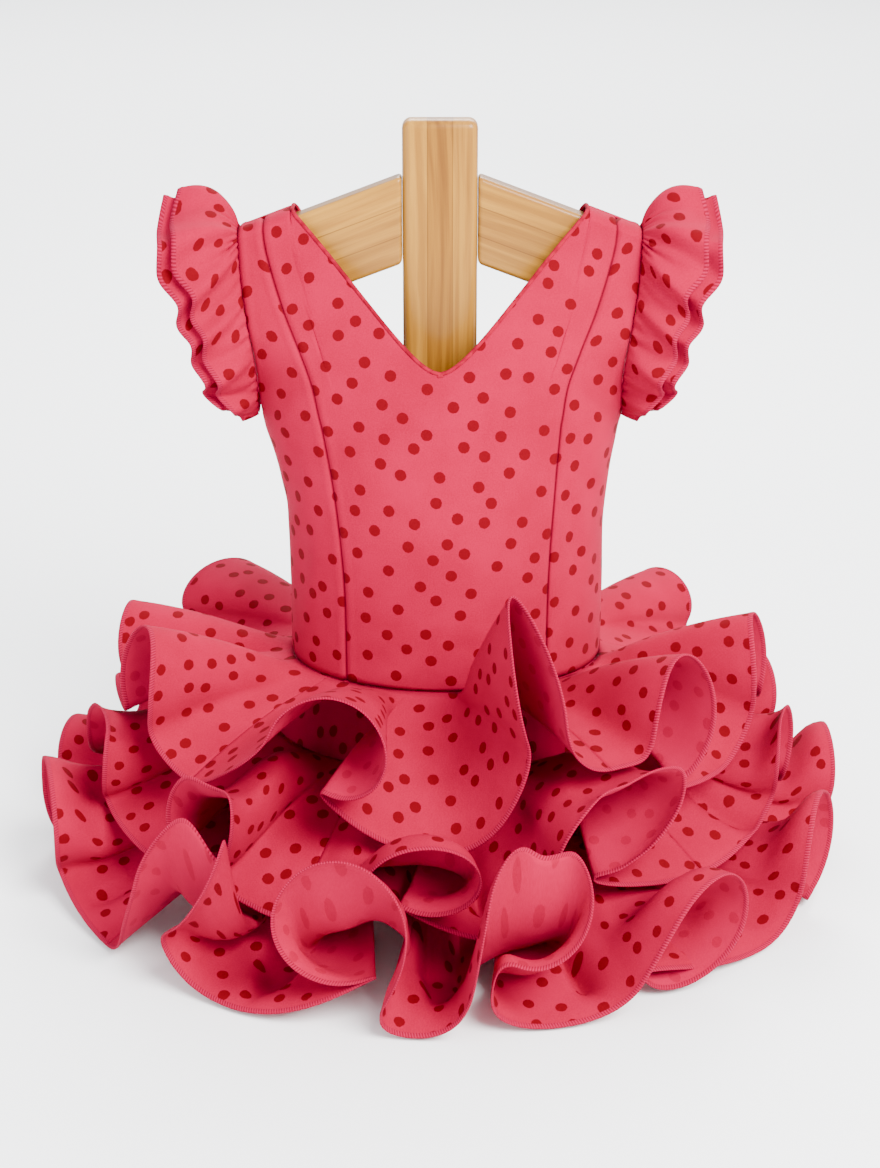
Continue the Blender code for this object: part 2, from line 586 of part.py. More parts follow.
def make_arm(side, sign, collection):
    """A sloping board whose inner end butts against the post and whose tip is cut square."""
    inner = POST_WIDTH / 2 + SEAM_GAP
    slope = math.atan(ARM_FALL)
    along = np.array([math.cos(slope), -math.sin(slope)])
    down = np.array([-math.sin(slope), -math.cos(slope)])
    drop = ARM_BOARD / math.cos(slope)
    top_in = np.array([inner, ARM_TOP - ARM_FALL * inner])
    length = (ARM_REACH - inner) / math.cos(slope)
    top_tip = top_in + along * length
    outline = [top_in, top_tip, top_tip + down * ARM_BOARD, top_in - [0, drop]]
    name = f"stand_arm_{side}"
    shape = bpy.data.curves.new(name, "CURVE")
    shape.dimensions = "2D"
    shape.fill_mode = "BOTH"
    shape.extrude = ARM_DEPTH / 2
    line = shape.splines.new("POLY")
    line.points.add(len(outline) - 1)
    for point, at in zip(line.points, outline):
        point.co = (sign * at[0], at[1], 0.0, 1.0)
    line.use_cyclic_u = True
    drawn = bpy.data.objects.new(name + "_outline", shape)
    collection.objects.link(drawn)
    drawn.rotation_euler = (math.pi / 2, 0, 0)
    bpy.context.view_layer.update()
    flat = bpy.data.meshes.new_from_object(drawn.evaluated_get(bpy.context.evaluated_depsgraph_get()))
    flat.name = name
    flat.transform(drawn.matrix_world)
    bpy.data.objects.remove(drawn, do_unlink=True)
    arm = bpy.data.objects.new(name, flat)
    flat.materials.clear()
    place(arm, collection, WOOD, 0.35, 0.5)
    weld = arm.modifiers.new("Weld", "WELD")
    weld.merge_threshold = 0.0001
    round_edges(arm, BOARD_EDGE)


def make_stand(collection):
    base_top = BASE_SIZE[2]
    board("stand_base", BASE_SIZE, (0, 0, base_top / 2), BASE_EDGE, collection)
    foot = base_top + SEAM_GAP
    board("stand_post", (POST_WIDTH, POST_DEPTH, POST_TOP - foot), (0, 0, (POST_TOP + foot) / 2),
          POST_CORNER, collection)
    for side, sign in (("left", 1), ("right", -1)):
        make_arm(side, sign, collection)


def main():
    clear_scene()
    dress = new_collection("flamenco_dress_on_stand")
    make_stand(dress)
    make_bodice(dress)
    make_binding(dress)
    make_ruffles(dress)
    make_skirt(dress)
    make_flounces(dress)


main()
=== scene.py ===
"""A child's flamenco dress, filled out on its wooden stand.

Metres, +Z up. The dress faces -Y. Bearings go round the dress in degrees, 0 at the front and 90
at the wearer's left (+X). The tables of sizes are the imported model's own.
"""
import math

import bpy
import numpy as np
from mathutils import Matrix, Vector


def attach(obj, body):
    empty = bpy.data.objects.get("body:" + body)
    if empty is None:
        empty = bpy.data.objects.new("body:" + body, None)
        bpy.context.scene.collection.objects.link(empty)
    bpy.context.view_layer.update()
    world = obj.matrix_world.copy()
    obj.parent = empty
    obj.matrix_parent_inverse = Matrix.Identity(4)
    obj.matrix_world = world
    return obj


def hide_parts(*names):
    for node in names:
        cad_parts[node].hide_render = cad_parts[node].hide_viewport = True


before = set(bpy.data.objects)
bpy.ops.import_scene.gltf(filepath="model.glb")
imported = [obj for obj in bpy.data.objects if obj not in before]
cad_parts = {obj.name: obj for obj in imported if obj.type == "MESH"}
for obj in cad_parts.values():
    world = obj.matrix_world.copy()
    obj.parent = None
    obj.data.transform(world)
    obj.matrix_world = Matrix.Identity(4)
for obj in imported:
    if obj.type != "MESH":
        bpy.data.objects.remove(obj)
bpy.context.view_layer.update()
bpy.ops.object.select_all(action="DESELECT")

# Sizes

CLOTH = 0.0010  # thickness of the cloth
SEAM_GAP = 0.0003  # between pieces that are sewn together

POST = (0.051, 0.022, 0.0183, 0.546)  # width, depth, foot, top
POST_EDGE = 0.0062
ARM_DEPTH = 0.020
ARM_BOARD = 0.056  # width of the arm boards, across their length
ARM_REACH = 0.190  # from the stand's middle to an arm's tip
ARM_TOP = 0.5184  # height of the arms' upper edges, carried on to the stand's middle
ARM_FALL = 0.375  # how far the arms sink for each metre outwards
ARM_EDGE = 0.0035
BASE_SIZE = (0.250, 0.190, 0.018)
BASE_EDGE = 0.002
STRIPS = 3  # laminated strips across the post and across an arm

HIP = 0.1600  # height of the low hip seam
SHOULDER = 0.5242  # height of the shoulder seams, carried on to the middle
# Sections of the bodice. The shoulders fall outwards, so height is at the middle and fall is the
# drop for each metre sideways. The side is where the armhole, or below it the side seam, runs.
SECTION_NAMES = ("height", "half_width", "front_depth", "back_depth", "fall", "side", "princess", "shift")
SECTIONS = (
    (0.1604, 0.1125, 0.0785, 0.0785, 0.0, 0.1125, 0.0710, 0.0045),
    (0.2100, 0.1125, 0.0785, 0.0785, 0.0, 0.1125, 0.0710, 0.0045),
    (0.2550, 0.1120, 0.0780, 0.0770, 0.0, 0.1120, 0.0725, 0.0040),
    (0.3000, 0.1165, 0.0710, 0.0700, 0.0, 0.1165, 0.0765, 0.0030),
    (0.3410, 0.1260, 0.0630, 0.0620, 0.0, 0.1260, 0.0815, 0.0010),
    (0.3520, 0.1285, 0.0620, 0.0600, 0.0, 0.1262, 0.0835, 0.0005),
    (0.3750, 0.1350, 0.0590, 0.0560, 0.02, 0.1268, 0.0875, 0.0),
    (0.4050, 0.1520, 0.0530, 0.0480, 0.08, 0.1290, 0.0960, 0.0),
    (0.4420, 0.1850, 0.0380, 0.0350, 0.20, 0.1325, 0.1060, 0.0),
    (0.4830, 0.2150, 0.0240, 0.0230, 0.33, 0.1360, 0.1145, 0.0),
    (0.5120, 0.2200, 0.0182, 0.0182, 0.375, 0.1376, 0.1195, 0.0),
    (0.5198, 0.2200, 0.0165, 0.0165, 0.375, 0.1378, 0.1200, 0.0),
    (0.5236, 0.2200, 0.0095, 0.0095, 0.375, 0.1378, 0.1200, 0.0),
    (0.5242, 0.2200, 0.0002, 0.0002, 0.375, 0.1378, 0.1200, 0.0),
)
UNDERARM = 4 / (len(SECTIONS) - 1)  # the section at which the armholes start, as a level 0 to 1
FRONT_NECK = 0.3845  # lowest point of the front V
BACK_NECK = 0.3250
NECK_ROUND = 0.014  # how far from the middle the V starts to run straight
NECK_HALF = 0.101  # half the neck's width at the shoulder
BINDING = 0.0014  # radius of the rolled neck edge
BINDING_RAISED = 0.0009  # from the panels' edge to the middle of the roll
SLIT = 0.0004  # half a seam's gap, as an angle
PANEL_ROWS = 120
LEVEL_SEARCH = (0.2, 1.0, 1601)  # levels tried for the neck edge
# Profile across a bodice seam: how far the cloth turns in and how wide, then the soft swelling
# beside it, its distance and its width
TURNED_IN = (0.0013, 0.0016)
SWELLING = (0.0004, 0.0045, 0.0022)

# Seams that carry the three flounces, and the flounces' cut widths
SEAM_NAMES = ("height", "half_width", "half_depth", "width", "hem_radius")
SEAMS = {
    "upper": (0.1570, 0.1130, 0.0795, 0.125, 0.205),
    "middle": (0.1080, 0.1245, 0.0985, 0.136, 0.225),
    "lower": (0.0600, 0.1385, 0.1225, 0.158, 0.268),
}
SEAM_STAND = 0.0015  # the flounces' sewn edges lie this far outside the skirt
SKIRT_FOOT = 0.045
SKIRT_COLUMNS = 121
SKIRT_NARROWER = (0.0018, 0.012)  # how far the skirt's top is drawn in, and over what height
HIP_SHIFT = 0.035  # the bodice's sideways shift dies out over this length below the hip seam
HIP_LIFT = (0.0014, 0.0024, 0.012)  # the upper flounce's sewn edge: in, up, and over what width
ARCH = 0.005  # how far a flounce bows upwards between its seam and its hem

# One row for each standing curl of a hem, as seen from outside. Bearing and height place the middle
# of its mouth. Tilt turns the mouth, and neck says where the mouth closes, clockwise from straight
# down, gap being half its opening there. Root turns the fold's line where it leaves the seam, in
# degrees, and the tucks draw the mouth's first and last points inwards. Then comes the low stretch
# that follows it.
FOLD_NAMES = ("bearing", "height", "half_width", "half_height", "tilt", "neck", "gap", "root",
              "tuck_in", "tuck_out", "dip_bearing", "dip_height", "dip_half")
FOLDS = {
    "upper": (
        (-173, 0.150, 0.026, 0.032, 0, 0, 42, 0, 0, 0, -155, 0.112, 0.012),
        (-128, 0.150, 0.038, 0.026, 0, 0, 50, 0, 0, 0, -108, 0.112, 0.010),
        (-98, 0.152, 0.024, 0.032, 0, 0, 40, 0, 0, 0, -84, 0.146, 0.010),
        (-67, 0.172, 0.025, 0.044, 0, 0, 35, 0, 0, 0, -52, 0.118, 0.012),
        (-21, 0.168, 0.043, 0.040, 0, 58, 24, 0, 0, 0.012, -1, 0.086, 0.034),
        (19.5, 0.208, 0.016, 0.056, -5, -10, 35, -14, 0.008, 0, 32, 0.150, 0.012),
        (48.5, 0.166, 0.028, 0.051, 12, 30, 34, 0, 0, 0, 65, 0.108, 0.010),
        (77, 0.168, 0.022, 0.042, 4, 0, 40, 0, 0, 0, 101, 0.110, 0.012),
        (127, 0.142, 0.028, 0.028, 0, 0, 46, 0, 0, 0, 141, 0.115, 0.010),
        (156, 0.155, 0.024, 0.030, 0, 0, 42, 0, 0, 0, 170, 0.112, 0.010),
    ),
    "middle": (
        (-152, 0.090, 0.028, 0.034, 0, 0, 40, 0, 0, 0, -134, 0.050, 0.014),
        (-116, 0.097, 0.028, 0.034, 0, 0, 40, 0, 0, 0, -97, 0.060, 0.012),
        (-74, 0.118, 0.030, 0.044, 8, 22, 34, 0, 0, 0, -56, 0.062, 0.014),
        (-41, 0.114, 0.027, 0.046, 10, 20, 30, 0, 0, 0, -26, 0.048, 0.016),
        (-2.5, 0.092, 0.039, 0.031, -8, 82, 26, 0, 0, 0.012, 8, 0.040, 0.015),
        (31, 0.122, 0.062, 0.034, -38, 74, 20, 0, 0, 0.014, 50, 0.056, 0.018),
        (74, 0.110, 0.026, 0.040, 0, 0, 40, 0, 0, 0, 88, 0.059, 0.012),
        (105, 0.095, 0.028, 0.034, 0, 0, 40, 0, 0, 0, 122, 0.050, 0.012),
        (139, 0.090, 0.028, 0.034, 0, 0, 40, 0, 0, 0, 156, 0.050, 0.014),
        (174, 0.090, 0.028, 0.034, 0, 0, 40, 0, 0, 0, 191, 0.050, 0.014),
    ),
    "lower": (
        (-166, 0.050, 0.032, 0.034, 0, 0, 34, 0, 0, 0, -149, 0.004, 0.018),
        (-132, 0.050, 0.032, 0.034, 0, 0, 34, 0, 0, 0, -115, 0.004, 0.018),
        (-102, 0.044, 0.030, 0.030, 0, 0, 34, 0, 0, 0, -89, 0.010, 0.010),
        (-76, 0.060, 0.044, 0.042, 0, 20, 44, 0, 0, 0, -55, 0.004, 0.016),
        (-38, 0.096, 0.026, 0.058, 26, 12, 26, 0, 0, 0, -30, 0.004, 0.032),
        (-13.5, 0.081, 0.047, 0.050, 0, -58, 10, 0, 0.020, 0, -3.5, 0.003, 0.031),
        (13.5, 0.098, 0.036, 0.048, 10, 54, 16, 0, 0, 0.006, 16, 0.003, 0.044),
        (38, 0.048, 0.035, 0.050, 32, 58, 18, 0, 0, 0.016, 52, 0.004, 0.020),
        (66, 0.054, 0.031, 0.048, 8, 20, 30, 0, 0, 0, 80, 0.004, 0.014),
        (94, 0.052, 0.030, 0.036, 0, 0, 34, 0, 0, 0, 110, 0.004, 0.018),
        (126, 0.050, 0.032, 0.034, 0, 0, 34, 0, 0, 0, 143, 0.004, 0.018),
        (160, 0.050, 0.032, 0.034, 0, 0, 34, 0, 0, 0, 177, 0.004, 0.018),
    ),
}
MOUTH_POINTS = 8
TUCK_FADE = 2.5  # how soon a tuck ends round a mouth
CORNER_CUTS = 3  # times that the hem's corners are rounded
HEM_POINTS = 2400  # once round a hem
LEAST_ROOM = 0.0004  # keeps the radius real where a fold is as long as the flounce is wide
# Bearings of the low stretches in which the pieces of each flounce are joined
JOINS = {"upper": (-108, -52, 32, 101), "middle": (-97, -26, 50, 122), "lower": (-89, -55, 80, 143)}

# A flounce is laid under the one above it on a grid of bearings and radii
CELL_RADIUS = 0.004
GRID_RADII = 84
GRID_BEARINGS = 240
FINE_POINTS = (3000, 49)  # round a flounce and across it, for the grid
LAYER_GAP = 0.0038  # between the middles of two layers of cloth
LEAST_PRESSED = 0.006  # what stays of a fold's height when it is pressed flat
FLOOR_GAP = 0.0022  # from the floor to the middle of the lowest hem
HEM_STEP = 0.0032  # between columns of points, along a hem
WIDTH_STEPS = 26
HEM_ROWS = (0.6, 0.25)  # extra rows next to the hem, in steps from it

# The ruffles, from the underarm at the front over the shoulder to the back. Along runs 0 to 1 up
# the front edge. The hem is given for the outer layer on the +X side.
RUFFLE_NAMES = ("along", "hem_x", "hem_y", "hem_z")
RUFFLE = (
    (0.00, 0.1390, 0.020, 0.3440),
    (0.15, 0.1490, 0.037, 0.3570),
    (0.40, 0.1600, 0.047, 0.3920),
    (0.65, 0.1700, 0.046, 0.4320),
    (0.85, 0.1815, 0.037, 0.4680),
    (1.00, 0.1805, 0.000, 0.4920),
)
RUFFLE_WAVES = 11
RUFFLE_WAVE = 0.0055
RUFFLE_ARCH = (0.0035, 0.0075)  # how far a ruffle bows out, and how much more at the shoulder
# From the armhole's edge to the ruffles' sewn edges, for a share of the way up the armhole
RUFFLE_STAND = ((0.0, 0.06, 0.14, 1.0), (0.0038, 0.0030, 0.0014, 0.0010))
RUFFLE_LAYERS = 0.0022  # between the two layers at their sewn edges
HEM_LAYERS = 0.0078  # and at their hems
UNDER_LONGER = 1.16  # the under ruffle's depth as a share of the outer one's
RUFFLE_POINTS = (360, 26)  # along and across a ruffle
GATHERS = (46, 0.0013)  # gathers along the seam, and their depth
LONG_GATHERS = (23, 0.0012)  # the softer ones that run on towards the hem

DOT_SPACING = 0.0208
DOT_RADIUS = 0.0040
DOT_TURN = 31  # degrees between the rows of dots and the piece's length
THREAD_SPACING = 0.0009  # of the weave
STITCH_SPACING = 0.0019  # of the overlocking
OVERLOCK = 0.0034  # width of the overlocked band along a hem
HEM_THICKNESS = (1.5, 0.8)  # of the overlocked band and of its edge, in thicknesses of the cloth
SEAM_MARK = 1.0  # added to the distance from a seam, to tell it from the distance from a hem

# Soft creases pressed into the bodice: the middle of each on the front (-1) or back (1), its
# length, the width of its trough, how far it leans from upright, and its depth.
CREASE_NAMES = ("face", "x", "z", "length", "width", "lean", "depth")
CREASES = (
    (-1, 0.094, 0.262, 0.075, 0.0055, -6, 0.0016),
    (-1, 0.101, 0.300, 0.060, 0.0050, -12, 0.0012),
    (-1, 0.084, 0.220, 0.045, 0.0060, 10, 0.0009),
    (-1, -0.098, 0.236, 0.060, 0.0060, 8, 0.0012),
    (-1, -0.104, 0.290, 0.050, 0.0050, 14, 0.0010),
    (-1, -0.030, 0.183, 0.050, 0.0080, 62, 0.0008),
    (-1, 0.040, 0.186, 0.055, 0.0080, -66, 0.0009),
    (-1, 0.112, 0.352, 0.040, 0.0060, -38, 0.0014),
    (-1, -0.112, 0.354, 0.040, 0.0060, 38, 0.0013),
    (1, 0.060, 0.240, 0.080, 0.0070, -8, 0.0014),
    (1, -0.055, 0.250, 0.070, 0.0065, 12, 0.0015),
    (1, 0.098, 0.300, 0.060, 0.0060, -20, 0.0013),
    (1, -0.100, 0.290, 0.060, 0.0060, 16, 0.0013),
    (1, 0.020, 0.190, 0.050, 0.0080, 70, 0.0009),
)


# Camera and studio

LOOKED_AT = (0.0, 0.0, 0.21)
CAMERA_AWAY = 1.5
CAMERA_RISE = math.radians(22)
FOCAL_LENGTH = 63.34
LIT_FROM_SKY = 1.9
# name, place, what it faces, side, watts and colour
LIGHTS = (
    ("key", (1.1, -1.5, 1.9), (0, 0, 0.2), 1.2, 230, (1, 1, 1)),
    ("fill", (-1.6, -1.2, 1.0), (0, 0, 0.2), 1.6, 30, (0.96, 0.98, 1)),
    ("back", (0.2, 1.5, 1.7), (0, 0, 0.2), 1.2, 60, (1, 1, 1)),
    ("far_floor", (0, 4.2, 3.0), (0, 5.6, 0), 5.0, 420, (1, 1, 1)),
)


def aim(thing, target):
    away = thing.location - Vector(target)
    thing.rotation_euler = away.to_track_quat("Z", "Y").to_euler()


def make_camera():
    lens = bpy.data.cameras.new("camera")
    lens.sensor_width = 36.0
    lens.lens = FOCAL_LENGTH
    lens.clip_end = 60.0
    camera = bpy.data.objects.new("camera", lens)
    bpy.context.scene.collection.objects.link(camera)
    away = Vector((0.0, -math.cos(CAMERA_RISE), math.sin(CAMERA_RISE))) * CAMERA_AWAY
    camera.location = Vector(LOOKED_AT) + away
    aim(camera, LOOKED_AT)
    bpy.context.scene.camera = camera


def make_light(name, place, target, size, power, colour):
    lamp = bpy.data.lights.new(name, "AREA")
    lamp.shape = "SQUARE"
    lamp.size = size
    lamp.energy = power
    lamp.color = colour
    light = bpy.data.objects.new(name, lamp)
    bpy.context.scene.collection.objects.link(light)
    light.location = place
    aim(light, target)


def make_studio():
    world = bpy.data.worlds.new("studio")
    world.use_nodes = True
    sky = world.node_tree.nodes["Background"]
    sky.inputs["Color"].default_value = (0.93, 0.96, 1.0, 1)
    sky.inputs["Strength"].default_value = LIT_FROM_SKY
    bpy.context.scene.world = world
    for light in LIGHTS:
        make_light(*light)
    bpy.ops.mesh.primitive_plane_add(size=40, location=(0, 0, 0))
    floor = bpy.context.active_object
    floor.name = "floor"
    floor.data.materials.append(paper_white())
    bpy.ops.object.select_all(action="DESELECT")


# Nodes

class Tree:
    """Adds nodes to a node tree and joins them."""

    def __init__(self, tree):
        self.tree = tree

    def add(self, kind, inputs=(), **settings):
        node = self.tree.nodes.new(kind)
        for name, value in settings.items():
            setattr(node, name, value)
        return self.fill(node, inputs)

    def fill(self, node, inputs):
        """Joins each input to the socket given for it, or sets it to a value."""
        for socket, value in dict(inputs).items():
            if isinstance(value, bpy.types.NodeSocket):
                self.tree.links.new(value, node.inputs[socket])
            else:
                node.inputs[socket].default_value = value
        return node

    def math(self, operation, *values):
        return self.add("ShaderNodeMath", enumerate(values), operation=operation).outputs[0]

    def mix(self, factor, first, second):
        return self.add("ShaderNodeMix", {0: factor, 6: first, 7: second}, data_type="RGBA").outputs[2]

    def remap(self, value, low, high, to_low=0.0, to_high=1.0):
        return self.add("ShaderNodeMapRange", {0: value, 1: low, 2: high, 3: to_low, 4: to_high},
                        interpolation_type="SMOOTHSTEP").outputs[0]

    def noise(self, vector, scale, detail=2.0, roughness=0.5):
        return self.add("ShaderNodeTexNoise", {"Vector": vector, "Scale": scale, "Detail": detail,
                                               "Roughness": roughness}).outputs[0]


GROUPS = {}


def effect(name, inputs, outputs, build):
    """A shader node group, built once: build(tree, inputs) returns a value for each output.

    An input with no value of its own is a place.
    """
    if name not in GROUPS:
        group = bpy.data.node_groups.new(name, "ShaderNodeTree")
        for label, value in inputs.items():
            kind = "NodeSocketVector" if value is None else "NodeSocketFloat"
            socket = group.interface.new_socket(label, in_out="INPUT", socket_type=kind)
            if value is not None:
                socket.default_value = value
        for label in outputs:
            group.interface.new_socket(label, in_out="OUTPUT", socket_type="NodeSocketFloat")
        tree = Tree(group)
        given = tree.add("NodeGroupInput")
        made = build(tree, given.outputs)
        tree.add("NodeGroupOutput", {label: made[label] for label in outputs})
        GROUPS[name] = group
    return GROUPS[name]


def build_weave(tree, given):
    """Fine woven threads, with slubs and a soft unevenness of tone."""
    split = tree.add("ShaderNodeSeparateXYZ", {0: given["Place"]})
    across, along = split.outputs[0], split.outputs[1]
    turns = 2 * math.pi / THREAD_SPACING
    warp = tree.math("SINE", tree.math("MULTIPLY", tree.math("ADD", across, along), turns))
    weft = tree.math("SINE", tree.math("MULTIPLY", tree.math("SUBTRACT", across, along), turns))
    threads = tree.math("MULTIPLY", warp, weft)
    fine = tree.noise(given["Place"], 900, 2.0, 0.7)
    soft = tree.noise(given["Place"], 22, 3.0, 0.55)
    uneven = tree.math("ADD", fine, tree.math("MULTIPLY", soft, 0.8))
    height = tree.math("ADD", tree.math("MULTIPLY", threads, 0.35), uneven)
    tone = tree.math("ADD", tree.math("MULTIPLY", fine, 0.5), tree.math("MULTIPLY", soft, 0.5))
    return {"Height": height, "Tone": tone}


def build_dots(tree, given):
    """Printed dots, scattered unevenly, with slightly rough edges."""
    turn = (0, 0, math.radians(DOT_TURN))
    turned = tree.add("ShaderNodeMapping", {"Vector": given["Place"], "Rotation": turn}).outputs[0]
    voronoi = tree.add("ShaderNodeTexVoronoi", {"Vector": turned, "Scale": 1 / DOT_SPACING,
                                                "Randomness": 0.5}, voronoi_dimensions="2D")
    ragged = tree.noise(given["Place"], 700, 1.0)
    apart = tree.math("MULTIPLY", voronoi.outputs["Distance"], DOT_SPACING)
    apart = tree.math("ADD", apart, tree.math("MULTIPLY", tree.math("SUBTRACT", ragged, 0.5), 0.0008))
    return {"Mask": tree.remap(apart, DOT_RADIUS - 0.0002, DOT_RADIUS + 0.0002, 1.0, 0.0)}


def build_overlock_and_seam_shade(tree, given):
    """The overlocked edge: a band of slanted threads, read from distances along and from the hem, and a
    painted shade along the seams, read from the distance from a seam.
    """
    split = tree.add("ShaderNodeSeparateXYZ", {0: given["Hem"]})
    along, inwards = split.outputs[0], split.outputs[1]
    mask = tree.remap(inwards, OVERLOCK - 0.0003, OVERLOCK + 0.0003, 1.0, 0.0)
    slanted = tree.math("ADD", along, tree.math("MULTIPLY", inwards, 0.35))
    wave = tree.math("SINE", tree.math("MULTIPLY", slanted, 2 * math.pi / STITCH_SPACING))
    thread = tree.math("MULTIPLY", tree.math("ADD", wave, 1.0), 0.5)
    # painted shade: a thin darker line along each seam, where the cloth turns in and lies in shade
    from_seam = tree.math("SUBTRACT", inwards, SEAM_MARK)
    seam = tree.math("MULTIPLY", tree.remap(from_seam, 0.0002, 0.0016, 1.0, 0.0),
                     tree.math("GREATER_THAN", inwards, SEAM_MARK - 0.01))
    return {"Mask": mask, "Thread": tree.math("MULTIPLY", thread, mask), "Seam": seam}


def new_material(name):
    made = bpy.data.materials.new(name)
    made.use_nodes = True
    return made, Tree(made.node_tree), made.node_tree.nodes["Principled BSDF"]


def cloth_material(name, wrong_side):
    """Coral cloth printed with red dots on its right side; they show faintly on the wrong side."""
    made, tree, shader = new_material(name)
    place = tree.add("ShaderNodeUVMap", uv_map="cloth").outputs[0]
    hem = tree.add("ShaderNodeUVMap", uv_map="hem").outputs[0]
    weave = tree.add("ShaderNodeGroup", {"Place": place}, node_tree=effect(
        "weave", {"Place": None}, ("Height", "Tone"), build_weave))
    dots = tree.add("ShaderNodeGroup", {"Place": place}, node_tree=effect(
        "dots", {"Place": None}, ("Mask",), build_dots))
    edge = tree.add("ShaderNodeGroup", {"Hem": hem}, node_tree=effect(
        "overlock", {"Hem": None}, ("Mask", "Thread", "Seam"), build_overlock_and_seam_shade))
    ground = (0.34, 0.0016, 0.034, 1) if wrong_side else (0.30, 0.0006, 0.0270, 1)
    darker = (0.29, 0.0010, 0.027, 1) if wrong_side else (0.245, 0.0004, 0.0200, 1)
    dot = (0.110, 0.0002, 0.0035, 1)
    shown = tree.math("MULTIPLY", dots.outputs["Mask"], 0.30 if wrong_side else 1.0)
    colour = tree.mix(tree.remap(weave.outputs["Tone"], 0.35, 0.65), darker, ground)
    colour = tree.mix(shown, colour, dot)
    stitched = tree.mix(edge.outputs["Thread"], (0.16, 0.0005, 0.012, 1), (0.31, 0.004, 0.038, 1))
    colour = tree.mix(edge.outputs["Mask"], colour, stitched)
    # painted shade along the bodice's seams, darkening the cloth where its turned-in edges lie in shade
    colour = tree.mix(tree.math("MULTIPLY", edge.outputs["Seam"], 0.75), colour, (0.085, 0.0003, 0.006, 1))
    height = tree.math("ADD", weave.outputs["Height"], tree.math("MULTIPLY", edge.outputs["Thread"], 2.5))
    bump = tree.add("ShaderNodeBump", {"Height": height, "Strength": 0.35, "Distance": 0.0003})
    tree.fill(shader, {"Base Color": colour, "Normal": bump.outputs[0], "Roughness": 0.82,
                       "Sheen Weight": 0.02, "Sheen Roughness": 0.5, "Sheen Tint": (1.0, 0.10, 0.20, 1),
                       "Specular IOR Level": 0.07, "Specular Tint": (1.0, 0.25, 0.35, 1)})
    return made


def roll_material():
    """The rolled neck edge: the same cloth cut on the slant, stitched along its middle. Its colours are
    darker than the cloth's own, painted shade for the thin roll.
    """
    made, tree, shader = new_material("neck_roll")
    place = tree.add("ShaderNodeTexCoord").outputs["Object"]
    soft = tree.noise(place, 160, 3.0)
    fine = tree.noise(place, 1400, 2.0)
    # painted shade: both colours are darker than the cloth's ground
    colour = tree.mix(tree.remap(soft, 0.35, 0.65), (0.15, 0.0005, 0.009, 1), (0.25, 0.0008, 0.018, 1))
    bump = tree.add("ShaderNodeBump", {"Height": tree.math("ADD", soft, fine), "Strength": 0.4,
                                       "Distance": 0.0004})
    tree.fill(shader, {"Base Color": colour, "Normal": bump.outputs[0], "Roughness": 0.85,
                       "Specular IOR Level": 0.07, "Specular Tint": (1.0, 0.25, 0.35, 1)})
    return made


def build_grain(tree, given):
    """Laminated pine: strips of different tone with a fine glue line, and grain along the board."""
    split = tree.add("ShaderNodeSeparateXYZ", {0: given["Place"]})
    across, deep, along = split.outputs
    drawn_out = tree.add("ShaderNodeCombineXYZ", {0: across, 1: deep, 2: tree.math("MULTIPLY", along, 0.12)})
    bend = tree.noise(drawn_out.outputs[0], 26, 2.0)
    swayed = tree.math("ADD", across, tree.math("MULTIPLY", bend, 0.020))
    stretched = tree.add("ShaderNodeCombineXYZ", {0: swayed, 1: tree.math("MULTIPLY", deep, 0.6),
                                                  2: tree.math("MULTIPLY", along, 0.035)}).outputs[0]
    rings = tree.noise(stretched, 210, 3.0, 0.55)
    pores = tree.noise(stretched, 1500, 2.0, 0.6)
    strips = tree.math("MULTIPLY", tree.math("ADD", across, given["Offset"]), given["Strips"])
    strip = tree.math("FLOOR", strips)
    tone = tree.add("ShaderNodeTexWhiteNoise", {"W": tree.math("ADD", strip, given["Board"])},
                    noise_dimensions="1D").outputs[0]
    inside = tree.math("FRACT", strips)
    line = tree.math("ABSOLUTE", tree.math("SUBTRACT", inside, 0.5))
    return {"Grain": rings, "Pores": pores, "Tone": tone, "Line": tree.remap(line, 0.475, 0.495)}


def wood_material(name, turn, strips, offset, board):
    """Varnished pine. The turn lays the grain along the board."""
    made, tree, shader = new_material(name)
    place = tree.add("ShaderNodeTexCoord").outputs["Object"]
    laid = tree.add("ShaderNodeMapping", {"Vector": place, "Rotation": (0, turn, 0)}).outputs[0]
    laminated = effect("laminated_pine", {"Place": None, "Strips": 50.0, "Offset": 0.0, "Board": 0.0},
                       ("Grain", "Pores", "Tone", "Line"), build_grain)
    grain = tree.add("ShaderNodeGroup", {"Place": laid, "Strips": strips, "Offset": offset, "Board": board},
                     node_tree=laminated)
    light = tree.mix(grain.outputs["Tone"], (0.26, 0.108, 0.010, 1), (0.40, 0.190, 0.024, 1))
    dark = tree.mix(grain.outputs["Tone"], (0.145, 0.052, 0.005, 1), (0.27, 0.114, 0.012, 1))
    colour = tree.mix(tree.remap(grain.outputs["Grain"], 0.3, 0.7), dark, light)
    colour = tree.mix(tree.math("MULTIPLY", grain.outputs["Pores"], 0.25), colour, (0.11, 0.035, 0.003, 1))
    colour = tree.mix(tree.math("MULTIPLY", grain.outputs["Line"], 0.6), colour, (0.07, 0.022, 0.002, 1))
    rough = tree.remap(grain.outputs["Grain"], 0.2, 0.8, 0.42, 0.30)
    height = tree.math("ADD", grain.outputs["Grain"], grain.outputs["Pores"])
    bump = tree.add("ShaderNodeBump", {"Height": height, "Strength": 0.12, "Distance": 0.0004})
    tree.fill(shader, {"Base Color": colour, "Roughness": rough, "Normal": bump.outputs[0],
                       "Coat Weight": 0.16, "Coat Roughness": 0.18, "Specular IOR Level": 0.15})
    return made


def paper_white():
    made, tree, shader = new_material("studio_floor")
    tree.fill(shader, {"Base Color": (0.93, 0.93, 0.93, 1), "Roughness": 0.9, "Specular IOR Level": 0.1})
    return made


# Tables read smoothly

def column(table, names, name):
    return np.array([row[names.index(name)] for row in table])


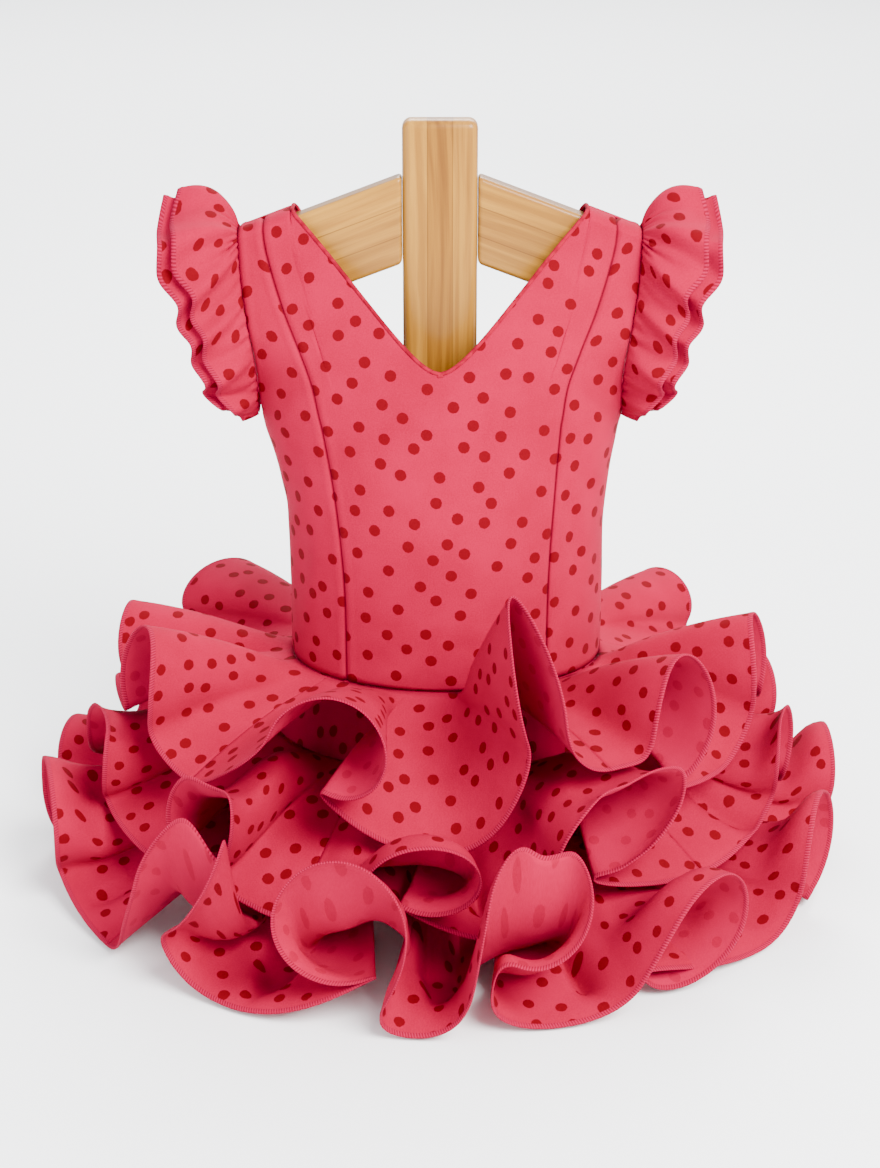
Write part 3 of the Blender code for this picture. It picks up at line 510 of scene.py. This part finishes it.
def smooth_read(at, places, values):
    """Reads a table along a smooth curve that never overshoots its rows."""
    at = np.asarray(at, float)
    gaps = np.diff(places)
    slopes = np.diff(values) / gaps
    tangents = np.concatenate([slopes[:1], (slopes[1:] + slopes[:-1]) / 2, slopes[-1:]])
    flat = np.concatenate([[False], slopes[1:] * slopes[:-1] <= 0, [False]])
    tangents[flat] = 0
    limit = 3 * np.minimum(np.abs(np.append(slopes, slopes[-1])), np.abs(np.insert(slopes, 0, slopes[0])))
    tangents = np.clip(tangents, -limit, limit)
    row = np.clip(np.searchsorted(places, at) - 1, 0, len(gaps) - 1)
    gap = gaps[row]
    t = (at - places[row]) / gap
    return ((2 * t ** 3 - 3 * t ** 2 + 1) * values[row] + (t ** 3 - 2 * t ** 2 + t) * gap * tangents[row]
            + (3 * t ** 2 - 2 * t ** 3) * values[row + 1] + (t ** 3 - t ** 2) * gap * tangents[row + 1])


# Cloth shells

def lengths(points, axis=0):
    """Running length along a line or a grid of points, starting at 0."""
    steps = np.linalg.norm(np.diff(points, axis=axis), axis=-1)
    return np.concatenate([np.zeros_like(np.take(steps, [0], axis)), np.cumsum(steps, axis)], axis)


def unit(vectors):
    return vectors / np.maximum(np.linalg.norm(vectors, axis=-1, keepdims=True), 1e-12)


def grid_normals(grid):
    return unit(np.cross(np.gradient(grid, axis=0), np.gradient(grid, axis=1)))


def make_cloth(name, grid, cloth_uv, hem_uv, flip=False, thick=None):
    """A thin shell on a grid of points, right side out. Row 0 is the sewn edge, the last the hem."""
    rows, columns, _ = grid.shape
    normals = grid_normals(grid) * (-1 if flip else 1)
    thickness = np.full(rows, CLOTH) if thick is None else thick
    lift = normals * thickness[:, None, None] / 2
    points = np.concatenate([(grid + lift).reshape(-1, 3), (grid - lift).reshape(-1, 3)])
    index = np.arange(rows * columns).reshape(rows, columns)
    quads = np.stack([index[:-1, :-1], index[1:, :-1], index[1:, 1:], index[:-1, 1:]], -1).reshape(-1, 4)
    if flip:
        quads = quads[:, ::-1]
    under = quads[:, ::-1] + rows * columns
    edge = np.concatenate([index[0, :-1], index[:-1, -1], index[-1, :0:-1], index[:0:-1, 0]])
    after = np.roll(edge, -1)
    rim = np.stack([edge, after, after + rows * columns, edge + rows * columns], -1)
    if flip:
        rim = rim[:, ::-1]
    faces = np.concatenate([quads, under, rim])
    mesh = bpy.data.meshes.new(name + "_cloth")
    mesh.from_pydata(points.tolist(), [], faces.tolist())
    mesh.polygons.foreach_set("material_index", np.repeat([0, 1, 0], [len(quads), len(under), len(rim)]))
    loops = np.zeros(len(mesh.loops), int)
    mesh.loops.foreach_get("vertex_index", loops)
    for layer, values in (("cloth", cloth_uv), ("hem", hem_uv)):
        flat = np.asarray(values, float).reshape(-1, 2)
        flat = np.concatenate([flat, flat])
        mesh.uv_layers.new(name=layer).data.foreach_set("uv", flat[loops].ravel())
    mesh.shade_smooth()
    mesh.materials.append(SPOTTED)
    mesh.materials.append(WRONG_SIDE)
    cloth = bpy.data.objects.new(name + "_cloth", mesh)
    bpy.context.scene.collection.objects.link(cloth)
    return cloth


def settle(piece, node):
    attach(piece, "root")
    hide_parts(node)


def settle_sheet(cloth, node):
    settle(cloth, node)


# Bodice

LEVELS = np.linspace(0, 1, len(SECTIONS))


def section(level, name):
    return smooth_read(level, LEVELS, column(SECTIONS, SECTION_NAMES, name))


def bodice_point(level, angle, back=False):
    x = section(level, "half_width") * np.sin(angle)
    y = section(level, "back_depth" if back else "front_depth") * np.cos(angle)
    z = section(level, "height") - section(level, "fall") * np.abs(x)
    return np.stack([x + section(level, "shift"), y if back else -y, z], -1)


def edge_angle(level, name):
    return np.arcsin(np.minimum(section(level, name) / section(level, "half_width"), 1.0))


def neck_height(x, lowest):
    top = SHOULDER - ARM_FALL * NECK_HALF
    rise = (top - lowest) / (math.hypot(NECK_HALF, NECK_ROUND) - NECK_ROUND)
    return lowest + rise * (np.hypot(x, NECK_ROUND) - NECK_ROUND)


def top_level(angle_at, lowest, back):
    """The level at which a line up the bodice meets the neck edge, or 1 where it meets the shoulder."""
    levels = np.linspace(*LEVEL_SEARCH)
    points = bodice_point(levels, angle_at(levels), back)
    over = points[:, 2] - neck_height(points[:, 0] - section(levels, "shift"), lowest)
    crossed = np.nonzero((over > 0) & (np.abs(points[:, 0]) < NECK_HALF))[0]
    if not len(crossed):
        return 1.0
    at = crossed[0]
    if at == 0 or over[at - 1] > 0:
        return levels[at]
    share = over[at - 1] / (over[at - 1] - over[at])
    return levels[at - 1] + (levels[at] - levels[at - 1]) * share


def creased(points, back):
    """How deep the creases lie at each point."""
    depth = np.zeros(points.shape[:2])
    for row in CREASES:
        crease = dict(zip(CREASE_NAMES, row))
        if (crease["face"] > 0) != back:
            continue
        lean = math.radians(crease["lean"])
        right, up = points[..., 0] - crease["x"], points[..., 2] - crease["z"]
        along = right * math.sin(lean) + up * math.cos(lean)
        across = right * math.cos(lean) - up * math.sin(lean)
        across = across + 0.12 * np.abs(along) ** 1.5 / math.sqrt(crease["length"])
        fade = np.exp(-(along / crease["length"]) ** 2 * 3)
        trough = np.exp(-(across / crease["width"]) ** 2)
        ridge = 0.6 * np.exp(-((across - 1.9 * crease["width"]) / (1.3 * crease["width"])) ** 2)
        depth += crease["depth"] * fade * (trough - ridge)
    return depth


def bodice_panel(name, count, inner, outer, lowest, back):
    """A panel from its inner to its outer seam, each given as an angle for a level."""
    columns, from_inner, from_outer = [], [], []
    shares = np.linspace(0, 1, count)
    whole = np.linspace(0, 1, PANEL_ROWS)[:, None]
    uncut = bodice_point(whole, inner(whole) + (outer(whole) - inner(whole)) * shares, back)
    reached = lengths(uncut, 1)
    for place, share in enumerate(shares):
        def angle_at(level, share=share):
            return inner(level) + (outer(level) - inner(level)) * share
        levels = np.linspace(0.0, top_level(angle_at, lowest, back), PANEL_ROWS)
        columns.append(bodice_point(levels, angle_at(levels), back))
        from_inner.append(np.interp(levels, whole[:, 0], reached[:, place]))
        from_outer.append(np.interp(levels, whole[:, 0], reached[:, -1] - reached[:, place]))
    grid = np.stack(columns, 1)
    from_inner, from_outer = np.stack(from_inner, 1), np.stack(from_outer, 1)
    normals = grid_normals(grid)
    outwards = np.stack([grid[..., 0], grid[..., 1], np.zeros(grid.shape[:2])], -1)
    flip = (normals * outwards).sum() < 0
    if flip:
        normals = -normals
    # the cloth turns in at each seam
    near = np.minimum(from_inner, from_outer)
    (deep, narrow), (swell, away, wide) = TURNED_IN, SWELLING
    turned = deep * np.exp(-(near / narrow) ** 2) - swell * np.exp(-((near - away) / wide) ** 2)
    heights = lengths(grid)
    turned = turned + swell * np.exp(-(heights / narrow) ** 2)
    grid = grid - normals * (turned + creased(grid, back))[..., None]
    middle = grid[:, count // 2, 0].mean()
    across = (from_inner - from_outer) / 2
    # the pattern runs straight up the panel's middle
    uv = np.stack([across * np.sign(np.gradient(grid[..., 0], axis=1).mean()) + middle, heights + HIP], -1)
    # the hem map's second value is the distance from the nearest seam, which places the painted seam shade
    hem_uv = np.stack([heights, SEAM_MARK + np.minimum(near, heights)], -1)
    cloth = make_cloth(name, grid, uv, hem_uv, flip)
    wide, tall = float(from_inner[:, -1].max()), float(heights[-1].max())
    settle_sheet(cloth, name)


def make_bodice():
    bodice_panel("bodice_front", 121, lambda level: SLIT - edge_angle(level, "princess"),
                 lambda level: edge_angle(level, "princess") - SLIT, FRONT_NECK, False)
    for side, sign in (("left", 1), ("right", -1)):
        bodice_panel(f"bodice_side_front_{side}", 41,
                     lambda level: sign * (edge_angle(level, "princess") + SLIT),
                     lambda level: sign * (edge_angle(level, "side") - SLIT), FRONT_NECK, False)
        bodice_panel(f"bodice_back_{side}", 91,
                     lambda level: sign * SLIT,
                     lambda level: sign * (edge_angle(level, "side") - SLIT), BACK_NECK, True)


def neck_line(lowest, back, sign, count):
    """Half of a neck edge, from the shoulder to the middle, set in from the panels' edge."""
    first = np.interp(lowest, column(SECTIONS, SECTION_NAMES, "height"), LEVELS)
    reaches = np.linspace(0, NECK_HALF + 0.002, 2001)
    points, normals = [], []
    step = 1e-3
    for share in np.linspace(1, 0, count):
        level = first + (1 - first) * share ** 2
        over = section(level, "height") - section(level, "fall") * reaches - neck_height(reaches, lowest)
        reach = np.interp(0.0, -over, reaches)
        angle = sign * math.asin(reach / section(level, "half_width"))
        up = bodice_point(level, angle, back) - bodice_point(level - step, angle, back)
        across = bodice_point(level, angle + step, back) - bodice_point(level, angle - step, back)
        points.append(bodice_point(level, angle, back))
        normals.append(np.cross(up, across))
    points = np.array(points)
    into = unit(np.cross(np.gradient(points, axis=0), normals))
    into *= np.sign(into @ [-sign, 0.0, 1.0])[:, None]
    return points + into * BINDING_RAISED


def make_roll(name, path):
    """A rolled edge along a closed path, made from a bevelled curve."""
    roll = bpy.data.curves.new(name, "CURVE")
    roll.dimensions = "3D"
    line = roll.splines.new("POLY")
    line.points.add(len(path) - 1)
    for point, at in zip(line.points, path):
        point.co = (*at, 1.0)
    line.use_cyclic_u = True
    roll.bevel_depth = BINDING
    roll.bevel_resolution = 3
    drawn = bpy.data.objects.new(name + "_line", roll)
    bpy.context.scene.collection.objects.link(drawn)
    bpy.context.view_layer.update()
    mesh = bpy.data.meshes.new_from_object(drawn.evaluated_get(bpy.context.evaluated_depsgraph_get()))
    bpy.data.objects.remove(drawn, do_unlink=True)
    mesh.name = name
    mesh.shade_smooth()
    mesh.materials.clear()
    mesh.materials.append(NECK_ROLL)
    piece = bpy.data.objects.new(name, mesh)
    bpy.context.scene.collection.objects.link(piece)
    settle(piece, "neck_binding")


def make_binding():
    front = [neck_line(FRONT_NECK, False, sign, 70) for sign in (1, -1)]
    back = [neck_line(BACK_NECK, True, sign, 80) for sign in (1, -1)]
    path = np.vstack([front[0], front[1][::-1][1:], back[1][1:], back[0][::-1][1:-1]])
    make_roll("neck_roll", path)


# Sleeve ruffles

def armhole_edge(along, back):
    levels = UNDERARM + (1 - UNDERARM) * along
    return bodice_point(levels, edge_angle(levels, "side"), back)


def ruffle_grid(under):
    """The ruffle on the +X side: rows of points from its seam to its hem."""
    steps = np.linspace(-1, 1, RUFFLE_POINTS[0] + 1)
    along = 1 - np.abs(steps)
    is_back = steps > 0
    seam = np.where(is_back[:, None], armhole_edge(along, True), armhole_edge(along, False))
    turn = np.where(is_back, 1.0, -1.0)
    places = column(RUFFLE, RUFFLE_NAMES, "along")
    hem = np.stack([smooth_read(along, places, column(RUFFLE, RUFFLE_NAMES, name))
                    for name in ("hem_x", "hem_y", "hem_z")], 1)
    hem[:, 1] *= turn
    outwards = hem - seam
    run = np.gradient(seam + 0.5 * outwards, axis=0)
    normal = unit(np.cross(outwards, run))
    for _ in range(12):
        normal[1:-1] = (normal[:-2] + 2 * normal[1:-1] + normal[2:]) / 4
    normal = unit(normal)
    reach = unit(outwards)
    layer = -0.5 if under else 0.5
    stand = np.interp(along, *RUFFLE_STAND)[:, None]
    start = seam + reach * stand * 0.5 + normal * RUFFLE_LAYERS * layer * 0.8
    hem = seam + outwards * (UNDER_LONGER if under else 1.0) + normal * HEM_LAYERS * layer
    fade = np.minimum(1, 4 * along + 0.15)
    phase = 0.6
    wave = RUFFLE_WAVE * fade * np.sin(math.pi * RUFFLE_WAVES * steps + phase)
    # gathers are tight at the seam and die out across the ruffle, each at its own strength
    tight = np.sin(math.pi * GATHERS[0] * steps + 1.3 * np.sin(17 * steps) + (1 if under else 0))
    strength = 0.6 + 0.4 * np.sin(23 * steps + 2)
    grid = []
    for share in np.linspace(0, 1, RUFFLE_POINTS[1]):
        bow = 4 * share * (1 - share)
        gathers = GATHERS[1] * strength * fade * tight * np.exp(-((share - 0.10) / 0.16) ** 2)
        longer = LONG_GATHERS[1] * np.sin(math.pi * LONG_GATHERS[0] * steps + 0.5) * bow * fade
        reached = min(1, share * (UNDER_LONGER if under else 1))
        bow = 4 * reached * (1 - reached) * fade * (RUFFLE_ARCH[0] + RUFFLE_ARCH[1] * along ** 3)
        offset = wave * share + gathers + longer + bow
        grid.append(start + (hem - start) * share + normal * offset[:, None])
    return np.stack(grid)


def hem_thickness(grid):
    """The overlocked edge is thicker than the cloth, and rounded off."""
    drop = np.linalg.norm(np.diff(grid, axis=0), axis=2).mean(1)
    from_hem = np.concatenate([np.cumsum(drop[::-1])[::-1], [0]])
    band, edge = HEM_THICKNESS
    thick = np.where(from_hem < OVERLOCK, CLOTH * band, CLOTH)
    thick[-1] = CLOTH * edge
    return thick


def make_ruffles():
    for layer, under in (("outer", False), ("under", True)):
        for side, sign in (("left", 1), ("right", -1)):
            name = f"sleeve_ruffle_{layer}_{side}"
            grid = ruffle_grid(under) * [sign, 1, 1]
            down = lengths(grid)
            run = np.broadcast_to(lengths(grid[len(grid) // 2]), down.shape)
            uv = np.stack([run + 0.013 * sign + (0.4 if under else 0), down], -1)
            hem_uv = np.stack([run, down[-1:] - down], -1)
            cloth = make_cloth(name, grid, uv, hem_uv, sign < 0, hem_thickness(grid))
            settle_sheet(cloth, name)


# Skirt and flounces

def seam_value(tier, name):
    return SEAMS[tier][SEAM_NAMES.index(name)]


def hem_control(tier):
    """Corners of a hem as length along it, height and tuck: each fold's mouth, then the dip after it."""
    radius = seam_value(tier, "hem_radius")
    points = []
    for row in FOLDS[tier]:
        fold = dict(zip(FOLD_NAMES, row))
        around = np.radians(np.linspace(fold["neck"] + fold["gap"],
                                        fold["neck"] + 360 - fold["gap"], MOUTH_POINTS))
        side = -fold["half_width"] * np.sin(around)
        rise = -fold["half_height"] * np.cos(around)
        share = np.linspace(0, 1, MOUTH_POINTS)
        tuck = (fold["tuck_in"] * np.maximum(0, 1 - share * TUCK_FADE)
                + fold["tuck_out"] * np.maximum(0, 1 - (1 - share) * TUCK_FADE))
        tilt = math.radians(fold["tilt"])
        middle = math.radians(fold["bearing"]) * radius
        points += zip(middle + side * math.cos(tilt) + rise * math.sin(tilt),
                      fold["height"] - side * math.sin(tilt) + rise * math.cos(tilt), tuck)
        dip = math.radians(fold["dip_bearing"]) * radius
        points += [(dip - fold["dip_half"], fold["dip_height"], fold["tuck_out"] / 2),
                   (dip + fold["dip_half"], fold["dip_height"], 0.0)]
    return np.array(points)


def rounded_loop(points, once_round):
    """Cuts the corners of a loop. The loop closes a whole turn further on."""
    for _ in range(CORNER_CUTS):
        step = np.roll(points, -1, axis=0) - points
        step[-1, 0] += once_round
        points = np.stack([points + step / 4, points + step * 3 / 4], 1).reshape(-1, 3)
    return np.vstack([points, points[:1] + [once_round, 0, 0]])


def hem_line(tier):
    """Bearing, height, seam bearing and tuck at even steps along the hem, once round."""
    radius = seam_value(tier, "hem_radius")
    loop = rounded_loop(hem_control(tier), 2 * math.pi * radius)
    along = lengths(loop[:, :2])
    even = np.linspace(0, along[-1], HEM_POINTS + 1)
    bearing = np.interp(even, along, loop[:, 0]) / radius
    height = np.interp(even, along, loop[:, 1])
    tuck = np.interp(even, along, loop[:, 2])
    reach = HEM_POINTS // len(FOLDS[tier])
    weights = np.hanning(2 * reach + 1)
    turns = np.concatenate([bearing[:-1] + turn * 2 * math.pi for turn in (-1, 0, 1)])
    seam = np.convolve(turns, weights / weights.sum(), mode="same")[HEM_POINTS:2 * HEM_POINTS + 1]
    # the seam's bearings are drawn towards each fold's root
    for number, row in enumerate(FOLDS[tier]):
        middle = along[(number * (MOUTH_POINTS + 2) + MOUTH_POINTS // 2) * 2 ** CORNER_CUTS]
        apart = (even - middle + along[-1] / 2) % along[-1] - along[-1] / 2
        near = np.clip(np.abs(apart) / along[-1] * len(FOLDS[tier]), 0, 1)
        seam = seam + math.radians(row[FOLD_NAMES.index("root")]) * (1 + np.cos(math.pi * near)) / 2
    return bearing, height, seam, tuck


def flounce_points(tier, places, shares):
    """Points of a flounce at places round it, 0 to 1, and shares of its width, seam to hem."""
    bearing, height, seam, tuck = (np.interp(places, np.linspace(0, 1, len(line)), line)
                                   for line in hem_line(tier))
    across = (seam_value(tier, "half_width") + SEAM_STAND) * np.sin(seam)
    deep = -(seam_value(tier, "half_depth") + SEAM_STAND) * np.cos(seam)
    top = seam_value(tier, "height")
    level = across * np.sin(bearing) - deep * np.cos(bearing)
    room = level ** 2 - across ** 2 - deep ** 2 - (height - top) ** 2 + seam_value(tier, "width") ** 2
    radius = level + np.sqrt(np.maximum(room, LEAST_ROOM)) - tuck
    start = np.stack([across, deep, np.full_like(across, top)], 1)
    end = np.stack([radius * np.sin(bearing), -radius * np.cos(bearing), height], 1)
    shares = np.asarray(shares)[:, None, None]
    points = start + (end - start) * shares
    points[..., 2] += (ARCH * 4 * shares * (1 - shares))[..., 0]
    return points


def height_grid(points, pick, empty):
    """The lowest or highest point over each cell of the grid."""
    bearing = np.arctan2(points[..., 0], -points[..., 1]).ravel() / (2 * math.pi) * GRID_BEARINGS
    radius = np.hypot(points[..., 0], points[..., 1]).ravel() / CELL_RADIUS
    cells = np.full((GRID_BEARINGS, GRID_RADII), empty)
    pick.at(cells, (np.round(bearing).astype(int) % GRID_BEARINGS, np.round(radius).astype(int)),
            points[..., 2].ravel())
    return cells


def spread_cells(cells, pick, around, outwards):
    for axis, times in ((0, around), (1, outwards)):
        for _ in range(times):
            cells = pick(cells, pick(np.roll(cells, 1, axis), np.roll(cells, -1, axis)))
    return cells


def softened(cells, times):
    for _ in range(times):
        cells = cells / 2 + (np.roll(cells, 1, 0) + np.roll(cells, -1, 0)) / 4
        cells = cells / 2 + (np.roll(cells, 1, 1) + np.roll(cells, -1, 1)) / 4
    return cells


def read_cells(cells, points):
    bearing = (np.arctan2(points[..., 0], -points[..., 1]) / (2 * math.pi) * GRID_BEARINGS) % GRID_BEARINGS
    radius = np.hypot(points[..., 0], points[..., 1]) / CELL_RADIUS
    b0, r0 = np.floor(bearing).astype(int), np.floor(radius).astype(int)
    tb, tr = bearing - b0, radius - r0
    b0, b1 = b0 % GRID_BEARINGS, (b0 + 1) % GRID_BEARINGS
    return ((cells[b0, r0] * (1 - tb) + cells[b1, r0] * tb) * (1 - tr)
            + (cells[b0, r0 + 1] * (1 - tb) + cells[b1, r0 + 1] * tb) * tr)


class Pressed:
    """Lays a flounce under the finished one above it, squeezing its folds where they would meet."""

    def __init__(self, fine, cover):
        high = 1.0
        top = height_grid(fine, np.maximum, -high)
        bottom = height_grid(fine, np.minimum, high)
        known = top > -high
        top = spread_cells(top, np.maximum, 1, 1)
        bottom = spread_cells(bottom, np.minimum, 1, 1)
        limit = spread_cells(height_grid(cover, np.minimum, high), np.minimum, 1, 1) - LAYER_GAP
        down = np.where(known, np.maximum(0, top - limit), 0)
        self.down = softened(spread_cells(down, np.maximum, 2, 3), 2)
        self.top = np.where(top > -high, top, 0)
        self.bottom = np.where(bottom < high, bottom, 0)

    def __call__(self, points):
        down = read_cells(self.down, points)
        top = np.maximum(read_cells(self.top, points), points[..., 2])
        foot = np.minimum(read_cells(self.bottom, points), top - down) - LEAST_PRESSED
        squeeze = (top - down - foot) / (top - foot)
        laid = points.copy()
        laid[..., 2] = np.maximum(foot + (points[..., 2] - foot) * squeeze, FLOOR_GAP)
        return laid


def join_places(tier):
    """Where the pieces of a flounce are joined, as places round it, 0 to 1."""
    bearing, height, _, _ = hem_line(tier)
    radius = seam_value(tier, "hem_radius")
    found = []
    for join in JOINS[tier]:
        low = next(row[FOLD_NAMES.index("dip_height")] for row in FOLDS[tier]
                   if (row[FOLD_NAMES.index("dip_bearing")] - join) % 360 == 0)
        away = (bearing - math.radians(join) + math.pi) % (2 * math.pi) - math.pi
        found.append(np.argmin(np.hypot(away * radius, height - low)) / (len(bearing) - 1))
    return sorted(found)


def ring_cut(start, end, width):
    """Lays a flounce flat: places of its seam and hem points, and how far it turns in all."""
    seam_steps = np.linalg.norm(np.diff(start, axis=0), axis=1)
    hem_steps = np.linalg.norm(np.diff(end, axis=0), axis=1)
    turns = np.concatenate([[0], np.cumsum((hem_steps - seam_steps) / width)])
    middle = (turns[1:] + turns[:-1]) / 2
    moved = np.stack([seam_steps * np.cos(middle), seam_steps * np.sin(middle)], 1)
    inner = np.concatenate([np.zeros((1, 2)), np.cumsum(moved, 0)])
    outer = inner + width * np.stack([np.sin(turns), -np.cos(turns)], 1)
    return inner, outer, abs(turns[-1]), seam_steps.sum()


def settle_ring(cloth, name):
    """A flounce piece, cut flat as part of a ring, or as whole rings sewn end to end: attaches it to the root
    and hides the imported part it stands for.
    """
    settle_sheet(cloth, name)


def meet_bodice(grid, below):
    """Moves the upper flounce's sewn edge to the hip seam. Below is each row's distance from it."""
    inwards, upwards, over = HIP_LIFT
    lifted = np.clip(1 - below / over, 0, 1)[:, None] ** 2
    reach = np.hypot(grid[..., 0], grid[..., 1])
    grid[..., :2] *= (1 - inwards * lifted / reach)[..., None]
    grid[..., 2] += upwards * lifted
    grid[..., 0] += SECTIONS[0][-1] * np.clip(1 - below / HIP_SHIFT, 0, 1)[:, None]


def make_flounces():
    cover = None
    shares = np.linspace(0, 1, WIDTH_STEPS + 1)
    last_step = 1 - shares[-2]
    shares = np.concatenate([shares[:-1], [1 - step * last_step for step in HEM_ROWS], [1.0]])
    around, across = FINE_POINTS
    for tier in SEAMS:
        fine = flounce_points(tier, np.arange(around) / around, np.linspace(0, 1, across))
        lay = Pressed(fine, cover) if cover is not None else np.copy
        bearing, height, _, _ = hem_line(tier)
        length = np.hypot(np.diff(bearing) * seam_value(tier, "hem_radius"), np.diff(height)).sum()
        joins = join_places(tier)
        width = seam_value(tier, "width")
        for cut, (begin, end) in enumerate(zip(joins, joins[1:] + [joins[0] + 1])):
            name = f"flounce_{tier}_{cut + 1}"
            steps = round((end - begin) * length / HEM_STEP)
            plain = flounce_points(tier, np.linspace(begin, end, steps + 1) % 1, shares)
            grid = lay(plain)
            if tier == "upper":
                meet_bodice(grid, shares * width)
            for _ in range(2):
                grid[:, 1:-1] = (grid[:, :-2] + 2 * grid[:, 1:-1] + grid[:, 2:]) / 4
                grid[1:-1] = (grid[:-2] + 2 * grid[1:-1] + grid[2:]) / 4
            inner, outer, turn, seam_length = ring_cut(plain[0], plain[-1], width)
            weights = shares[:, None, None]
            uv = inner * (1 - weights) + outer * weights + [0.31 * cut, 0.17 * len(name)]
            hem_run = np.broadcast_to(lengths(plain[-1]), grid.shape[:2])
            hem_uv = np.stack([hem_run, lengths(grid[::-1])[::-1]], -1)
            cloth = make_cloth(name, grid, uv, hem_uv, False, hem_thickness(grid))
            settle_ring(cloth, name)
        cover = lay(fine)


def make_skirt():
    heights, widths, depths = [HIP - SEAM_GAP], [SECTIONS[0][1]], [SECTIONS[0][2]]
    for tier in SEAMS:
        heights.append(seam_value(tier, "height"))
        widths.append(seam_value(tier, "half_width"))
        depths.append(seam_value(tier, "half_depth"))
    carry_on = 1 + (heights[-1] - SKIRT_FOOT) / (heights[-2] - heights[-1])
    heights.append(SKIRT_FOOT)
    widths.append(widths[-2] + (widths[-1] - widths[-2]) * carry_on)
    depths.append(depths[-2] + (depths[-1] - depths[-2]) * carry_on)
    top_rows, rest = np.linspace(heights[0], heights[1], 3), np.linspace(heights[1], SKIRT_FOOT, 40)
    fine = np.concatenate([top_rows[:-1], rest])
    drawn_in, over = SKIRT_NARROWER
    for name, middle in (("skirt_front", 0.0), ("skirt_back", math.pi)):
        angles = middle + np.linspace(SLIT - math.pi / 2, math.pi / 2 - SLIT, SKIRT_COLUMNS)
        narrower = drawn_in * np.exp(-((heights[0] - fine) / over) ** 2)[:, None]
        wide = np.interp(-fine, -np.array(heights), widths)[:, None] - narrower
        deep = np.interp(-fine, -np.array(heights), depths)[:, None] - narrower
        shift = SECTIONS[0][-1] * np.clip(1 - (heights[0] - fine) / HIP_SHIFT, 0, 1)[:, None]
        grid = np.stack([wide * np.sin(angles) + shift, -deep * np.cos(angles),
                         np.broadcast_to(fine[:, None], (len(fine), len(angles)))], -1)
        run = np.broadcast_to(lengths(grid[-1]), grid.shape[:2])
        down = np.broadcast_to((fine[0] - fine)[:, None], grid.shape[:2])
        cloth = make_cloth(name, grid, np.stack([run, down], -1),
                           np.stack([run, down[-1:] - down], -1), False, hem_thickness(grid))
        settle_sheet(cloth, name)


# Stand

def board(name, size, centre, edge, material):
    """A rounded board, bevelled from a cube."""
    bpy.ops.mesh.primitive_cube_add(size=1, location=(0, 0, 0))
    made = bpy.context.active_object
    made.name = made.data.name = name
    made.data.transform(Matrix.Translation(centre) @ Matrix.Diagonal((*size, 1.0)))
    finish_board(made, edge, material)
    return made


def finish_board(made, edge, material):
    bevel = made.modifiers.new("Rounded edges", "BEVEL")
    bevel.width = edge
    bevel.segments = 6
    bevel.limit_method = "ANGLE"
    bpy.ops.object.select_all(action="DESELECT")
    made.select_set(True)
    bpy.context.view_layer.objects.active = made
    bpy.ops.object.modifier_apply(modifier=bevel.name)
    bpy.ops.object.shade_smooth_by_angle(angle=math.radians(35))
    bpy.ops.object.select_all(action="DESELECT")
    made.data.materials.clear()
    made.data.materials.append(material)


def make_arm(name, sign, slope, inner):
    """A sloping board, cut upright where it meets the post."""
    spare = 0.04  # runs past the cut
    length = (ARM_REACH - inner) / math.cos(slope)
    along = Vector((math.cos(slope), 0, -math.sin(slope)))
    down = Vector((-math.sin(slope), 0, -math.cos(slope)))
    corner = Vector((inner, 0, ARM_TOP - ARM_FALL * inner))
    middle = corner + along * (length - spare) / 2 + down * ARM_BOARD / 2
    middle.x *= sign
    bpy.ops.mesh.primitive_cube_add(size=1, location=(0, 0, 0))
    arm = bpy.context.active_object
    arm.name = arm.data.name = name
    arm.data.transform(Matrix.Translation(middle) @ Matrix.Rotation(sign * slope, 4, "Y")
                       @ Matrix.Diagonal((length + spare, ARM_DEPTH, ARM_BOARD, 1.0)))
    bpy.ops.object.mode_set(mode="EDIT")
    bpy.ops.mesh.select_all(action="SELECT")
    bpy.ops.mesh.bisect(plane_co=(sign * inner, 0, 0), plane_no=(sign, 0, 0), use_fill=True, clear_inner=True)
    bpy.ops.object.mode_set(mode="OBJECT")
    return arm


def make_stand():
    width, depth, foot, top = POST
    post = board("post", (width, depth, top - foot), (0, 0, (top + foot) / 2), POST_EDGE,
                 wood_material("post_pine", 0.0, STRIPS / width, width / 2, 3.0))
    settle(post, "stand_post")
    slope = math.atan(ARM_FALL)
    rise = ARM_TOP * math.cos(slope)
    for side, sign in (("left", 1), ("right", -1)):
        # turned so that the grain runs down the arm and the strips lie across it
        pine = wood_material("arm_pine_" + side, sign * (math.pi / 2 - slope), STRIPS / ARM_BOARD,
                             ARM_BOARD - rise if sign > 0 else rise, 7.0 + sign)
        arm = make_arm("arm_" + side, sign, slope, width / 2 + SEAM_GAP)
        finish_board(arm, ARM_EDGE, pine)
        settle(arm, f"stand_arm_{side}")
    base = board("base", BASE_SIZE, (0, 0, BASE_SIZE[2] / 2), BASE_EDGE,
                 wood_material("base_pine", math.pi / 2, 20.0, 0.0, 12.0))
    settle(base, "stand_base")


make_camera()
make_studio()
SPOTTED = cloth_material("spotted_cloth_right", False)
WRONG_SIDE = cloth_material("spotted_cloth_wrong", True)
NECK_ROLL = roll_material()
make_stand()
make_bodice()
make_binding()
make_ruffles()
make_skirt()
make_flounces()
